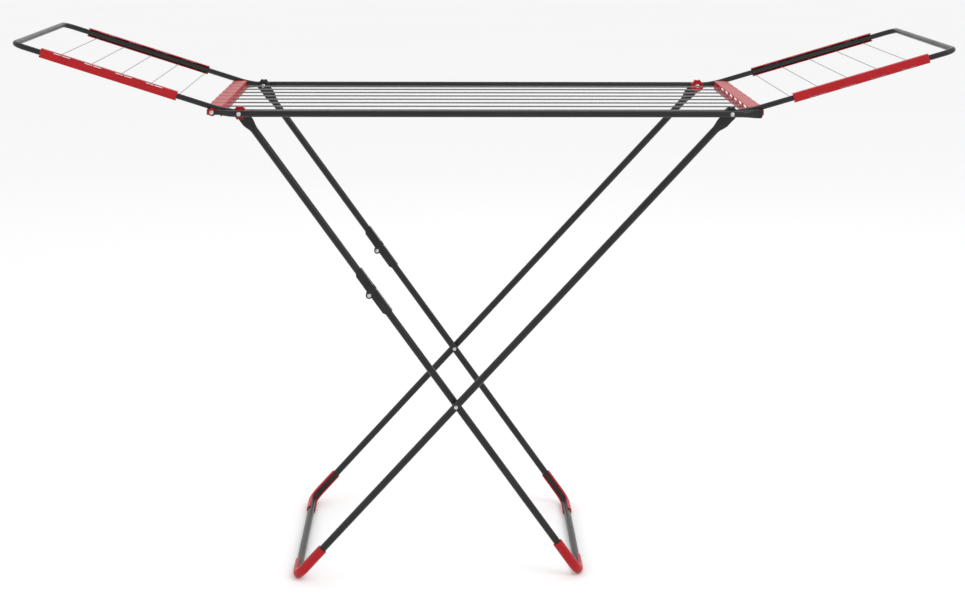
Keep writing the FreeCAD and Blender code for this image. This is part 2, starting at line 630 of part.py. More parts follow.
def rail(name, slots_up):
    """Clip-on rail for the right wing's rear tube: a channel open inwards,
    with paired slots beside each line and shallow windows in its web."""
    tall, lip = cell("rail_tall") + " / 2", "%s / 2 - %s" % (cell("rail_tall"), cell("rail_flange"))
    web_in = "%s / 2 + %s" % (cell("wing_tube"), cell("clip_clearance"))
    web_out, open_edge = "%s + %s" % (web_in, cell("rail_web")), "%s + %s - %s" % (
        web_in, cell("rail_web"), cell("rail_deep"))
    body = doc.addObject("PartDesign::Body", name + "_channel")
    channel = outline(body, "YZ_Plane", [
        (web_out, "-(%s)" % tall), (web_out, tall), (open_edge, tall), (open_edge, lip), (web_in, lip),
        (web_in, "-(%s)" % lip), (open_edge, "-(%s)" % lip), (open_edge, "-(%s)" % tall)])
    pad(body, channel, cell("rail_long"))
    parts = [body]

    def along(x):
        return (x - size("rail_first")) / WING_OUT.x

    ribs = [0.0, size("rail_long") - size("rail_rib")]
    ribs += [along(wing_line_x(k)) + size("rib_after_line") for k in range(1, WING_LINES)]
    for number, start in enumerate(ribs):
        for word, sign in (("up", 1), ("down", -1)):
            rib = doc.addObject("Part::Box", "%s_rib_%s_%d" % (name, word, number))
            rib.setExpression("Length", cell("rail_rib"))
            rib.setExpression("Width", "%s - 1.5" % cell("rail_deep"))
            rib.setExpression("Height", "(%s - %s) / 2 - %s" % (
                cell("rail_tall"), cell("wing_tube"), cell("clip_clearance")))
            rib.setExpression("Placement.Base.y", "%s + 1" % open_edge)
            rib.Placement.Base.x = start
            rib.setExpression("Placement.Base.z", "%s / 2 + %s" % (cell("wing_tube"), cell("clip_clearance"))
                              if sign > 0 else "-%s / 2" % cell("rail_tall"))
            parts.append(rib)
    whole = fused(name + "_solid", parts)
    tools = []
    for number in range(WING_LINES):
        start = Vector(along(wing_line_x(number)), -size("rail_deep"), -size("wing_line_drop"))
        tools.append(cylinder("%s_line_hole_%d" % (name, number), "%s / 2 + %s" % (
            cell("wing_line_dia"), cell("run_clearance")), "3 * " + cell("rail_deep"), start, Y_AXIS))
    for number in range(1, WING_LINES):
        middle = along(wing_line_x(number)) - size("slot_before_line")
        for word, start in (("a", middle - size("slot_long") - size("slot_space") / 2),
                            ("b", middle + size("slot_space") / 2)):
            slot = doc.addObject("Part::Box", "%s_slot_%s_%d" % (name, word, number))
            slot.setExpression("Length", cell("slot_long"))
            slot.setExpression("Width", cell("rail_web") + " + 2")
            slot.setExpression("Height", cell("slot_tall"))
            slot.Placement.Base.x = start
            slot.setExpression("Placement.Base.y", web_in + " - 1")
            slot.setExpression("Placement.Base.z", "%s - %s" % (lip, cell("slot_tall")) if slots_up
                               else "-(%s)" % lip)
            tools.append(slot)
        window = doc.addObject("Part::Box", "%s_window_%d" % (name, number))
        window.setExpression("Length", "2 * %s + %s" % (cell("slot_long"), cell("slot_space")))
        window.setExpression("Width", cell("rail_web"))
        window.setExpression("Height", cell("window_tall"))
        window.Placement.Base.x = middle - size("slot_long") - size("slot_space") / 2
        window.setExpression("Placement.Base.y", "%s - %s" % (web_out, cell("window_deep")))
        window.setExpression("Placement.Base.z", "-%s / 2" % cell("window_tall"))
        tools.append(window)
    thing = cut(name, whole, tools)
    place = on_wing(size("rail_first"))
    thing.Placement = Placement(Vector(place.x, size("wing_lane"), place.z), Rotation(Y_AXIS, -size("wing_slope")))
    return thing


def wing_line_x(number):
    """Where one of the right wing's lines meets its tubes, along the rack."""
    return size("wing_line_first") + number * size("wing_line_pitch")


def lifted(name, source):
    """A piece of the left wing, turned about its pivot to stand steeper."""
    thing = doc.addObject("Part::Compound", name)
    thing.Links = [source]
    thing.Placement = Placement(Vector(0, 0, 0), Rotation(Y_AXIS, size("left_wing_lift")), LEFT_PIVOT)
    return thing


def wing_lines(name):
    """Five thin lines across the right wing, just below its tubes."""
    solids = []
    reach = size("wing_lane") + size("wing_tube") / 2 + size("clip_clearance") + size("rail_web") / 2
    for number in range(WING_LINES):
        place = on_wing(wing_line_x(number)) - Vector(-WING_OUT.z, 0, WING_OUT.x) * size("wing_line_drop")
        solids.append(cylinder("%s_%d" % (name, number), cell("wing_line_dia") + " / 2", "%.6f" % (2 * reach),
                               Vector(place.x, -reach, place.z), Y_AXIS))
    return group(name, solids)


right_tube = node("wing_tube_right", shaped("right_wing_tube", wing_tube()))
node("wing_tube_left", lifted("left_wing_tube", turned("turned_wing_tube", right_tube)))
right_lines = node("wing_lines_right", wing_lines("right_wing_lines"))
node("wing_lines_left", lifted("left_wing_lines", turned("turned_wing_lines", right_lines)))
LEFT_START = Vector(-WING_START_OUT.x, 0, WING_START_OUT.z)
for side, word in ((-1, "front"), (1, "rear")):
    node("wing_hub_right_" + word, hub("hub_r_" + word, RIGHT_PIVOT, HUB_OUT, RIGHT_BOSS_IN, side, WING_START_OUT))
    left_hub = hub("hub_l_" + word, LEFT_PIVOT, FRAME_INNER - side_gap, KNEE_PLATE_OUT + side_gap, side, LEFT_START)
    node("wing_hub_left_" + word, lifted("left_hub_" + word, left_hub))
high_rail = node("wing_rail_right_rear", rail("rail_high", True))
node("wing_rail_right_front", mirrored("rail_low_front", rail("rail_low", False)))
left_front = node("wing_rail_left_front", lifted("left_rail_front", turned("rail_high_front", high_rail)))
node("wing_rail_left_rear", mirrored("rail_high_rear", left_front))


# ---------------------------------------------------------------------- legs

def pressed_top(lane):
    """Top of a leg tube in the leg's own frame, at y = lane: a flat plate on
    the outer side, tapering into the round tube."""
    radius = size("leg_tube") / 2
    start_radius = radius - size("press_step")
    half_thick, half_wide = size("plate_thick") / 2, size("plate_wide") / 2
    flat = lane + radius - half_thick
    stations = []
    for share in (0.0, 0.2, 0.45, 0.7, 0.88, 1.0):
        ease = share * share * (3 - 2 * share)
        along = size("taper_long") + (size("plate_long") - size("taper_long")) * share
        stations.append((Vector(along, lane + (flat - lane) * ease, 0),
                         start_radius + (half_thick - start_radius) * ease,
                         start_radius + (half_wide - start_radius) * ease))
    taper = pressed_end(stations, 3.2)
    thin, narrow = half_thick - size("press_step"), half_wide - size("press_step")
    plate = Part.makeBox(size("plate_long"), 2 * thin, 2 * narrow, Vector(0, flat - thin, -narrow))
    eye = y_cylinder(0, 0, narrow, flat - thin, flat + thin)
    hole = y_cylinder(0, 0, size("pivot_rivet_dia") / 2 + size("run_clearance"), lane - 30, lane + 30)
    return taper.fuse([plate, eye]).cut(hole)


def foot_path(start, length, lane):
    """Edges of a U in the leg's own frame: down one side, across, up the other."""
    corner = size("leg_corner")
    bulge = corner * (1 - math.sqrt(0.5))
    a, b = Vector(start, lane, 0), Vector(length - corner, lane, 0)
    c, d = Vector(length - bulge, lane - bulge, 0), Vector(length, lane - corner, 0)
    edges = [Part.LineSegment(a, b).toShape(), Part.Arc(b, c, d).toShape()]
    e, f, g, k = [Vector(p.x, -p.y, 0) for p in (d, c, b, a)]
    return edges + [Part.LineSegment(d, e).toShape(), Part.Arc(e, f, g).toShape(), Part.LineSegment(g, k).toShape()]


def cross_hole(shape, along, lane, radius):
    for side in (-1, 1):
        shape = shape.cut(y_cylinder(along, 0, radius, side * lane - 20, side * lane + 20))
    return shape


def knee_upper_tube():
    lane = size("knee_lane")
    path = Part.LineSegment(Vector(size("taper_long"), lane, 0),
                            Vector(KNEE_DOWN - size("knee_gap") / 2, lane, 0))
    tube = ring_pipe([path.toShape()], size("leg_tube") / 2, size("leg_wall"))
    return tube.fuse(pressed_top(lane))


def knee_lower_frame():
    path = foot_path(KNEE_DOWN + size("knee_gap") / 2, KNEE_LEG_LONG, size("knee_lane"))
    shape = ring_pipe(path, size("leg_tube") / 2, size("leg_wall"))
    shape = cross_hole(shape, (CROSSING - LEFT_PIVOT).Length, size("knee_lane"), size("cross_rivet_dia") / 2 + size("rivet_fit"))
    drain = Part.makeCylinder(size("drain_hole") / 2, size("leg_tube"), Vector(KNEE_LEG_LONG, 20, 0),
                              Vector(-1, 0, 1))
    return shape.cut(drain)


def straight_frame():
    path = foot_path(size("taper_long"), STRAIGHT_LEG_LONG, size("straight_lane"))
    shape = ring_pipe(path, size("leg_tube") / 2, size("leg_wall"))
    top = pressed_top(size("straight_lane"))
    shape = shape.fuse([top, top.mirror(Vector(0, 0, 0), Y_AXIS)])
    return cross_hole(shape, (CROSSING - RIGHT_PIVOT).Length, size("straight_lane"),
                      size("cross_rivet_dia") / 2 + size("rivet_fit"))


def foot_sleeve(length, lane):
    """Elbow of C section round a foot corner, open to the inside of the U."""
    inner, outer = size("leg_tube") / 2 + size("clip_clearance"), size("sleeve_dia") / 2
    corner = size("leg_corner")
    bulge = corner * (1 - math.sqrt(0.5))
    a, b = Vector(length - size("sleeve_leg"), lane, 0), Vector(length - corner, lane, 0)
    c, d = Vector(length - bulge, lane - bulge, 0), Vector(length, lane - corner, 0)
    e = Vector(length, lane - size("sleeve_bar"), 0)
    path = Part.Wire([Part.LineSegment(a, b).toShape(), Part.Arc(b, c, d).toShape(),
                      Part.LineSegment(d, e).toShape()])
    half_open = math.radians(size("sleeve_opening"))

    def rim(radius, turn):
        return a + Vector(0, -math.cos(turn) * radius, math.sin(turn) * radius)

    first, last, back = half_open, 2 * math.pi - half_open, math.pi
    section = Part.Wire([
        Part.Arc(rim(outer, first), rim(outer, back), rim(outer, last)).toShape(),
        Part.LineSegment(rim(outer, last), rim(inner, last)).toShape(),
        Part.Arc(rim(inner, last), rim(inner, back), rim(inner, first)).toShape(),
        Part.LineSegment(rim(inner, first), rim(outer, first)).toShape()])
    return path.makePipeShell([section], True, False)


def on_floor(shape, placement):
    """Move a foot part into place and trim it flat where it meets the floor."""
    shape = shape.copy()
    shape.Placement = placement
    floor = Part.makeBox(4000, 4000, 100, Vector(-2000, -2000, -100))
    return shape.cut(floor)


def knee_bracket(upper):
    """One bracket in the knee leg's own frame: a folded channel round the tube
    with two lugs round the knee pin; the upper lugs step out over the lower."""
    lane, wall = size("knee_lane"), size("bracket_wall")
    inside = size("leg_tube") / 2 + size("clip_clearance")
    outside = inside + wall
    open_edge, offset = -(size("knee_offset") - 0.7), size("knee_offset")
    gap = size("knee_gap") / 2 if not upper else size("lug_radius") + 5.0
    long = size("bracket_long")
    near, far = (KNEE_DOWN - gap, KNEE_DOWN - long) if upper else (KNEE_DOWN + gap, KNEE_DOWN + long)
    step = math.copysign(8.0, near - far)

    def side_plate(corners, low, high):
        loop = [Vector(x, lane + low, z) for x, z in corners]
        return Part.Face(Part.makePolygon(loop + [loop[0]])).extrude(Vector(0, high - low, 0))

    profile = [(near, outside), (far, outside), (far, open_edge / 2), (far + step, open_edge), (near, open_edge)]
    channel = side_plate(profile, -outside, outside)
    room = Part.makeBox(abs(far - near) + 40, 2 * inside, inside + 40,
                        Vector(min(far, near) - 20, lane - inside, -40))
    channel = channel.cut(room)
    parts = []
    low = outside + side_gap if upper else inside
    for sign in (-1, 1):
        bounds = sorted((sign * low, sign * (low + wall)))
        disc = y_cylinder(KNEE_DOWN, -offset, size("lug_radius"), lane + bounds[0], lane + bounds[1])
        if upper:
            web = side_plate([(near - 8, open_edge), (near - 8, outside), (KNEE_DOWN, outside),
                              (KNEE_DOWN + 4, open_edge)], *bounds)
            joggle = sorted((sign * inside, sign * (low + wall)))
            parts.append(side_plate([(near - 8, open_edge), (near - 8, outside), (near, outside),
                                     (near, open_edge)], *joggle))
        else:
            web = side_plate([(near + 12, open_edge), (near + 12, inside), (near, inside),
                              (KNEE_DOWN - 4, open_edge)], *bounds)
        parts += [disc, web]
    shape = channel.fuse(parts)
    hole = y_cylinder(KNEE_DOWN, -offset, size("knee_pin_dia") / 2 + size("run_clearance"), lane - 30, lane + 30)
    return shape.cut(hole).removeSplitter()


def leg_piece(name, shape, placement):
    """A piece made in a leg's own frame, set in its place."""
    thing = shaped(name, shape)
    thing.Placement = placement
    return thing


rear_upper = node("leg_a_upper_rear", leg_piece("upper_rear", knee_upper_tube(), KNEE_LEG))
node("leg_a_upper_front", mirrored("upper_front", rear_upper))
node("leg_a_lower_frame", leg_piece("lower_frame", knee_lower_frame(), KNEE_LEG))
node("leg_b_frame", leg_piece("outer_frame", straight_frame(), STRAIGHT_LEG))
for word, upper in (("upper", True), ("lower", False)):
    rear = node("knee_bracket_%s_rear" % word, leg_piece("bracket_" + word, knee_bracket(upper), KNEE_LEG))
    node("knee_bracket_%s_front" % word, mirrored("bracket_%s_front" % word, rear))
for letter, placement, long, lane in (("a", KNEE_LEG, KNEE_LEG_LONG, size("knee_lane")),
                                      ("b", STRAIGHT_LEG, STRAIGHT_LEG_LONG, size("straight_lane"))):
    rear = node("foot_%s_rear" % letter,
                shaped("sleeve_" + letter, on_floor(foot_sleeve(long, lane), placement)))
    node("foot_%s_front" % letter, mirrored("sleeve_%s_front" % letter, rear))

pin_reach = (size("leg_tube") / 2 + size("clip_clearance") + 2 * size("bracket_wall") + 2 * side_gap)
knee_pins, crossing_inner, crossing_outer = [], [], []
lane_gap = (size("straight_lane") - size("knee_lane") - size("leg_tube")) / 2
between = size("knee_lane") + size("leg_tube") / 2 + lane_gap
for side, word in ((-1, "front"), (1, "rear")):
    lane = size("knee_lane")
    knee_pins.append(rivet("knee_pin_" + word, KNEE_PIN.x, KNEE_PIN.z, side * (lane - pin_reach),
                           side * (lane + pin_reach), "knee_pin_dia", ("start", "finish")))
    crossing_inner.append(rivet("crossing_inner_" + word, CROSSING.x, CROSSING.z, side * (between - 0.15),
                                side * (lane - size("leg_tube") / 2), "cross_rivet_dia", ("finish",)))
    crossing_outer.append(rivet("crossing_outer_" + word, CROSSING.x, CROSSING.z, side * (between + 0.15),
                                side * (size("straight_lane") + size("leg_tube") / 2), "cross_rivet_dia",
                                ("finish",)))
node("knee_pins", group("knee_pin_set", knee_pins))
node("crossing_rivets_inner", group("crossing_inner_set", crossing_inner))
node("crossing_rivets_outer", group("crossing_outer_set", crossing_outer))

# --------------------------------------------------------------------- write

doc.recompute()
for thing in doc.Objects:
    if "Invalid" in thing.State or "Error" in thing.State:
        raise RuntimeError("%s is %s" % (thing.Name, thing.State))
os.makedirs("parts", exist_ok=True)
for name, thing in sorted(NODES.items()):
    shape = thing.Shape
    if shape.isNull() or not shape.isValid() or not shape.Solids:
        raise RuntimeError(name + " has no valid shape")
    print("%-26s solids %2d  volume %9.0f mm3" % (name, len(shape.Solids), shape.Volume))
for name, thing in NODES.items():
    thing.Shape.exportStep(os.path.join("parts", name + ".step"))
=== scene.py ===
"""Looks of a winged clothes drying rack: coated steel tubes, moulded plastic
rails, end bars, hubs and feet, taut lines and domed rivets.  Shapes are worked
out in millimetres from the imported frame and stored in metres."""

import json
import math

import bpy
import numpy as np
from mathutils import Matrix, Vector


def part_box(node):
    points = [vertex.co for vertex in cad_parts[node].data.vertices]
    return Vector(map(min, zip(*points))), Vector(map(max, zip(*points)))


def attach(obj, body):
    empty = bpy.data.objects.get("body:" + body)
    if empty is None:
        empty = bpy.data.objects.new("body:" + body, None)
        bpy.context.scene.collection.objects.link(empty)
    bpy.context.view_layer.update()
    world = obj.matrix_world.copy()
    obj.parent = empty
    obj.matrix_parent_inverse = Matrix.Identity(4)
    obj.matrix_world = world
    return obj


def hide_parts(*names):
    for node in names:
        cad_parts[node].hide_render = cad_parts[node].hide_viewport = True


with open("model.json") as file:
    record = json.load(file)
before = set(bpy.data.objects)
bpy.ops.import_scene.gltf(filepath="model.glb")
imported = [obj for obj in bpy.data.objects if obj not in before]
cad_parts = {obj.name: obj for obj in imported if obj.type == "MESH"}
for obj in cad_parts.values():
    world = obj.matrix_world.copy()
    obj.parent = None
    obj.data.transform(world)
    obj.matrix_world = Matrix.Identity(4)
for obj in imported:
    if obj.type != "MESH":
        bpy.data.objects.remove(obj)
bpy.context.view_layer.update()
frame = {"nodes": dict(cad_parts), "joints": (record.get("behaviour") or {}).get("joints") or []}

MM = 0.001
ACROSS = np.array([0.0, 1.0, 0.0])
UPWARD = np.array([0.0, 0.0, 1.0])
RING = 48             # points round a tube


def corners(node):
    """Lowest and highest corner of a frame node, in millimetres."""
    low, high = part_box(node)
    return np.array(low) / MM, np.array(high) / MM


def hinge(name):
    """A point on a joint's axis, in millimetres."""
    return next(np.array(j["pos_m"], float) / MM for j in frame["joints"] if j["name"] == name)


# ----------------------------------------------- places read from the frame

FRAME_TUBE, WING_TUBE, LEG_TUBE = 13.0, 11.0, 15.0      # outer diameters
TUBE_WALL = 1.0
SLIDE = 0.2                         # between faces that slide past each other
CRUSH = 3.6                         # thickness of a long tube pressed flat at its tip
RIVET_RISE, TONGUE = 2.0, 4.6       # bar rivets above the tube axes, and in from the riveted tip
LEFT_PIVOT, RIGHT_PIVOT, KNEE = hinge("leg_fold"), hinge("outer_leg_fold"), hinge("knee_bend")
HEIGHT = RIGHT_PIVOT[2]
PIVOT = RIGHT_PIVOT[0]
FRAME_LANE = corners("main_tube_rear")[1][1] - FRAME_TUBE / 2
TUBE_REACH = corners("main_tube_rear")[1][0], corners("main_tube_front")[1][0]   # riveted, crushed end
TUBE_INNER = FRAME_LANE - FRAME_TUBE / 2
WING_LANE = corners("wing_tube_right")[1][1] - WING_TUBE / 2
KNEE_LANE = corners("leg_a_lower_frame")[1][1] - LEG_TUBE / 2
STRAIGHT_LANE = corners("leg_b_frame")[1][1] - LEG_TUBE / 2


def foot_axis(node, side):
    """A leg frame's foot tube: half a tube in from the frame's end and up from its underside."""
    low, high = corners(node)
    end = high if side > 0 else low
    return np.array([end[0] - side * LEG_TUBE / 2, 0.0, low[2] + LEG_TUBE / 2])


def leg_axes(pivot, foot):
    """Rows: down the leg, across the rack, and square to both."""
    down = (foot - pivot) / np.linalg.norm(foot - pivot)
    return np.array([down, ACROSS, np.cross(down, ACROSS)])


KNEE_FOOT = foot_axis("leg_a_lower_frame", 1)
STRAIGHT_FOOT = foot_axis("leg_b_frame", -1)
KNEE_AXES = leg_axes(LEFT_PIVOT, KNEE_FOOT)
STRAIGHT_AXES = leg_axes(RIGHT_PIVOT, STRAIGHT_FOOT)
KNEE_LONG = np.linalg.norm(KNEE_FOOT - LEFT_PIVOT)
STRAIGHT_LONG = np.linalg.norm(STRAIGHT_FOOT - RIGHT_PIVOT)
KNEE_DOWN = (KNEE - LEFT_PIVOT) @ KNEE_AXES[0]


# --------------------------------------------------------- shells and meshes

def grid_faces(rows, columns, ring):
    """Four-cornered faces of a grid numbered row by row; every row is closed, and a ring closes the rows
    too."""
    i, j = np.meshgrid(np.arange(rows if ring else rows - 1), np.arange(columns), indexing="ij")
    down, along = (i + 1) % rows, (j + 1) % columns
    faces = [i * columns + j, i * columns + along, down * columns + along, down * columns + j]
    return np.stack(faces, -1).reshape(-1, 4)


def outward(points, faces):
    """Turn the faces over if the signed volume, a sum over fans of triangles, comes out negative."""
    volume = 0.0
    for face in faces:
        a = points[face[0]]
        b, c = points[list(face[1:-1])], points[list(face[2:])]
        volume += np.sum(np.cross(b, c) @ a)
    return points, ([f[::-1] for f in faces] if volume < 0 else faces)


def loft(sections, ring=False, caps="flat"):
    """Closed skin through n outlines of k points.  Flat caps are one face; strip caps join each point to the
    one across the outline's long axis, which suits a thin end that curves."""
    n, k = sections.shape[:2]
    faces = grid_faces(n, k, ring).tolist()
    if not ring:
        for first, turned in ((0, True), ((n - 1) * k, False)):
            if caps == "flat":
                cap = [list(range(first, first + k))]
            else:
                cap = [[first + i, first + i + 1, first + (k - i - 1) % k, first + (k - i) % k]
                       for i in range(k // 2)]
                cap = [list(dict.fromkeys(c)) for c in cap]
            faces += [c[::-1] for c in cap] if turned else cap
    return outward(sections.reshape(-1, 3), faces)


def joined(shells):
    """Several shells as one list of points and faces."""
    points, faces, start = [], [], 0
    for shell_points, shell_faces in shells:
        points.append(shell_points)
        faces += [[v + start for v in face] for face in shell_faces]
        start += len(shell_points)
    return np.vstack(points), faces


def mirrored(shell, x_sign=1, y_sign=1):
    """A shell reflected across the rack's middle planes, with its faces turned over again where needed."""
    points, faces = shell
    turned = [f[::-1] for f in faces] if x_sign * y_sign < 0 else faces
    return points * np.array([x_sign, y_sign, 1.0]), turned


def mesh_object(name, shell):
    """An object at the origin that holds a shell, in metres."""
    points, faces = shell
    mesh = bpy.data.meshes.new(name)
    mesh.from_pydata((np.asarray(points) * MM).tolist(), [], [list(map(int, f)) for f in faces])
    mesh.update()
    thing = bpy.data.objects.new(name, mesh)
    bpy.context.scene.collection.objects.link(thing)
    return thing


def smooth(mesh, sharp=32.0):
    """Smooth shading, with edges kept crisp where faces meet at more than the angle."""
    mesh.polygons.foreach_set("use_smooth", np.ones(len(mesh.polygons), bool))
    mesh.set_sharp_from_angle(angle=math.radians(sharp))


def piece(name, shell, body, slot, nodes, sharp=32.0):
    """One finished piece: riding on its body, standing for its frame nodes, in its slot's material."""
    thing = shell if isinstance(shell, bpy.types.Object) else mesh_object(name, shell)
    smooth(thing.data, sharp)
    thing.data.materials.clear()
    thing.data.materials.append(MATERIALS[slot])
    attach(thing, body)
    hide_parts(*nodes)
    return thing


def settled(thing):
    """What an object's modifiers make of its mesh becomes the mesh itself."""
    shape = thing.evaluated_get(bpy.context.evaluated_depsgraph_get())
    mesh = bpy.data.meshes.new_from_object(shape)
    thing.modifiers.clear()
    thing.data = mesh
    mesh.name = thing.name
    return thing


def combined(name, base, others, operation):
    """base joined with, or cut by, other shells: solids worked out by modifiers, then fixed in the mesh."""
    thing = mesh_object(name, base)
    tools = [mesh_object("%s_tool_%d" % (name, number), other) for number, other in enumerate(others)]
    for tool in tools:
        step = thing.modifiers.new("step", "BOOLEAN")
        step.operation, step.solver, step.object = operation, "MANIFOLD", tool
    settled(thing)
    for tool in tools:
        bpy.data.objects.remove(tool)
    return thing


def thickened(name, points, faces, thick, bevel):
    """An open sheet, given an even wall by Solidify and small rounded edges by Bevel."""
    thing = mesh_object(name, (points, faces))
    wall = thing.modifiers.new("wall", "SOLIDIFY")
    wall.thickness, wall.offset, wall.use_even_offset = thick * MM, 0.0, True
    edge = thing.modifiers.new("edge", "BEVEL")
    edge.width, edge.segments, edge.limit_method = bevel * MM, 2, "ANGLE"
    edge.angle_limit = math.radians(50)
    return settled(thing)


# ------------------------------------------------------- outlines and paths

def ring_angles(count=RING):
    return 2 * math.pi * np.arange(count) / count


def circle(radius, count=RING):
    """Outlines (wide, thick) of circles, one for each radius."""
    turn = ring_angles(count)
    return np.atleast_1d(radius)[:, None, None] * np.stack([np.cos(turn), np.sin(turn)], -1)


def flat_bar(half_wide, half_thick, count=RING):
    """Outline of a flat bar with half-round edges: a quarter of the points to each edge and each face."""
    quarter = count // 4
    edge = np.linspace(-math.pi / 2, math.pi / 2, quarter, endpoint=False)
    face = np.linspace(1, -1, quarter, endpoint=False)
    straight = half_wide - half_thick
    top = np.stack([straight + half_thick * np.cos(edge), half_thick * np.sin(edge)], -1)
    front = np.stack([straight * face, np.full(quarter, half_thick)], -1)
    return np.roll(np.vstack([top, front, -top, -front]), -quarter // 2, 0)


def rounded_box(half_a, half_b, radius, per_corner=5):
    """Outline of a rectangle with round corners, anticlockwise from the right-hand side."""
    turn = np.linspace(0, math.pi / 2, per_corner)
    out = []
    for k, (a, b) in enumerate(((1, 1), (-1, 1), (-1, -1), (1, -1))):
        out.append(np.stack([a * (half_a - radius) + radius * np.cos(turn + k * math.pi / 2),
                             b * (half_b - radius) + radius * np.sin(turn + k * math.pi / 2)], -1))
    return np.vstack(out)


def smooth_step(share):
    share = np.clip(share, 0, 1)
    return share * share * (3 - 2 * share)


def bent_path(turns, radii, run_step=40.0, arc_step=6.0):
    """Stations along straight runs joined by tangent arcs, with the direction at each.  A corner that turns
    by an angle is cut radius * tan(angle / 2) before it and after it."""
    turns = np.asarray(turns, float)
    ways = np.diff(turns, axis=0)
    ways /= np.linalg.norm(ways, axis=1)[:, None]
    points, heading, start = [], [], turns[0]

    def run(finish, way, last):
        count = max(2, int(np.linalg.norm(finish - start) / run_step) + 1)
        share = np.linspace(0, 1, count, endpoint=last)[:, None]
        points.append(start + (finish - start) * share)
        heading.append(np.repeat(way[None], count, 0))

    for corner, radius, before, after in zip(turns[1:-1], radii, ways[:-1], ways[1:]):
        turn = math.acos(np.clip(before @ after, -1, 1))
        cut = radius * math.tan(turn / 2)
        run(corner - before * cut, before, False)
        side = after - before * (before @ after)
        side /= np.linalg.norm(side)
        angle = np.linspace(0, turn, max(4, int(math.degrees(turn) / arc_step)), endpoint=False)[:, None]
        swing = np.sin(angle) * before - np.cos(angle) * side
        points.append(corner - before * cut + side * radius + radius * swing)
        heading.append(np.cos(angle) * before + np.sin(angle) * side)
        start = corner + after * cut
    run(turns[-1], ways[-1], True)
    return np.vstack(points), np.vstack(heading)


def carried(path, heading, square, outlines):
    """Outlines set along a path: wide goes along the part of `square` at right angles to the path, and thick
    goes along wide x heading."""
    wide = square - heading * (heading @ square)[:, None]
    wide /= np.linalg.norm(wide, axis=1)[:, None]
    thick = np.cross(wide, heading)
    return path[:, None] + wide[:, None] * outlines[..., :1] + thick[:, None] * outlines[..., 1:]


def in_leg(pivot, axes, local):
    """Points (down, across, square) of a leg's own frame, in the rack's."""
    return pivot + local @ axes


# ------------------------------------------------------------- pressed tubes

def pressed_sections(radius, half_wide, thick, flat, taper, corner, lift=0.0, cut_edge=0.35):
    """Outlines (along, side, square) of a tube pressed flat at its end, from the tip at along = 0 inwards.
    Each is a mix of a circle and a flat bar; the bar's share falls from 1 at `flat` to 0 at `taper` along a
    smooth step.  The tip's points are drawn back so that its corners are round, and less so up to twice the
    corner further in."""
    ease = 2.0 * corner
    along = np.unique(np.concatenate([[0.0, cut_edge], np.linspace(cut_edge, ease, 8),
                                      np.linspace(min(ease, flat), flat, 3), np.linspace(flat, taper, 13)]))
    share = smooth_step((taper - along) / (taper - flat))[:, None]
    thin = thick / 2 - cut_edge * np.clip(1 - along / cut_edge, 0, 1)
    bars = np.array([flat_bar(half_wide, t) for t in thin])
    mix = circle(np.full(len(along), radius)) * (1 - share[..., None]) + bars * share[..., None]
    over = np.clip(np.abs(mix[..., 0]) - (half_wide - corner), 0, corner)
    back = (corner - np.sqrt(corner ** 2 - over ** 2)) * np.clip(1 - along / ease, 0, 1)[:, None]
    side = mix[..., 1] - share * (radius - thick / 2)
    return np.stack([along[:, None] + back, side, mix[..., 0] + lift * share], -1)


def plain_sections(places, radius):
    """Circles (along, side, square) square to a straight tube at these places along it."""
    ring = circle(np.full(len(places), radius))
    along = np.repeat(np.asarray(places, float)[:, None], RING, 1)
    return np.stack([along, ring[..., 1], ring[..., 0]], -1)


def main_tube():
    """Rear long tube: its crushed end at the left, its riveted tip at the right, both pressed inwards."""
    radius = FRAME_TUBE / 2
    tip = pressed_sections(radius, TONGUE, CRUSH, 9.5, 48.6, TONGUE, RIVET_RISE)
    crushed = pressed_sections(radius, 9.0, CRUSH, 3.0, 43.0, 4.4)
    crushed[..., 0] -= TUBE_REACH[1]
    tip[..., 0] = TUBE_REACH[0] - tip[..., 0]
    first, last = crushed[-1, 0, 0], tip[-1, 0, 0]
    middle = plain_sections(np.linspace(first, last, 26)[1:-1], radius)
    local = np.concatenate([crushed, middle, tip[::-1]])
    local[..., 1] += FRAME_LANE
    local[..., 2] += HEIGHT
    return loft(local, caps="strip")


PLATE = dict(half_wide=12.0, thick=2.5, flat=34.0, taper=58.0, corner=11.9)
LEG_TOP = PLATE["half_wide"]          # pivot to the rounded top of a leg
LEG_CORNER = 25.0


def leg_top(lane):
    """Pressed top of the front leg tube, from its rounded end down to the round tube."""
    top = pressed_sections(LEG_TUBE / 2, **PLATE)
    top[..., 0] -= LEG_TOP
    top[..., 1] -= lane
    return top


def foot_bend(start, length, lane, outlines_for):
    """The U from the front leg tube down, across and up the rear one, as sections of a given outline."""
    turns = [(start, -lane, 0), (length, -lane, 0), (length, lane, 0), (start, lane, 0)]
    path, heading = bent_path(turns, (LEG_CORNER, LEG_CORNER))
    return carried(path, heading, UPWARD, outlines_for(path))


def straight_leg():
    """Outer leg frame, in one piece: two pressed tops and the U between them."""
    top = leg_top(STRAIGHT_LANE)
    start = top[-1, 0, 0]
    bend = foot_bend(start + 1.0, STRAIGHT_LONG, STRAIGHT_LANE,
                     lambda path: circle(np.full(len(path), LEG_TUBE / 2)))
    rear = top[::-1] * np.array([1, -1, 1])
    return loft(in_leg(RIGHT_PIVOT, STRAIGHT_AXES, np.concatenate([top, bend, rear])), caps="strip")


KNEE_GAP = 3.0
KNEE_BORE = 60.0                      # how far up the open tube its bore is modelled
KNEE_LIP = 0.3                        # rounding of the open tube's edge
DRAIN_FROM_MIDDLE, DRAIN_RADIUS = 20.0, 2.0


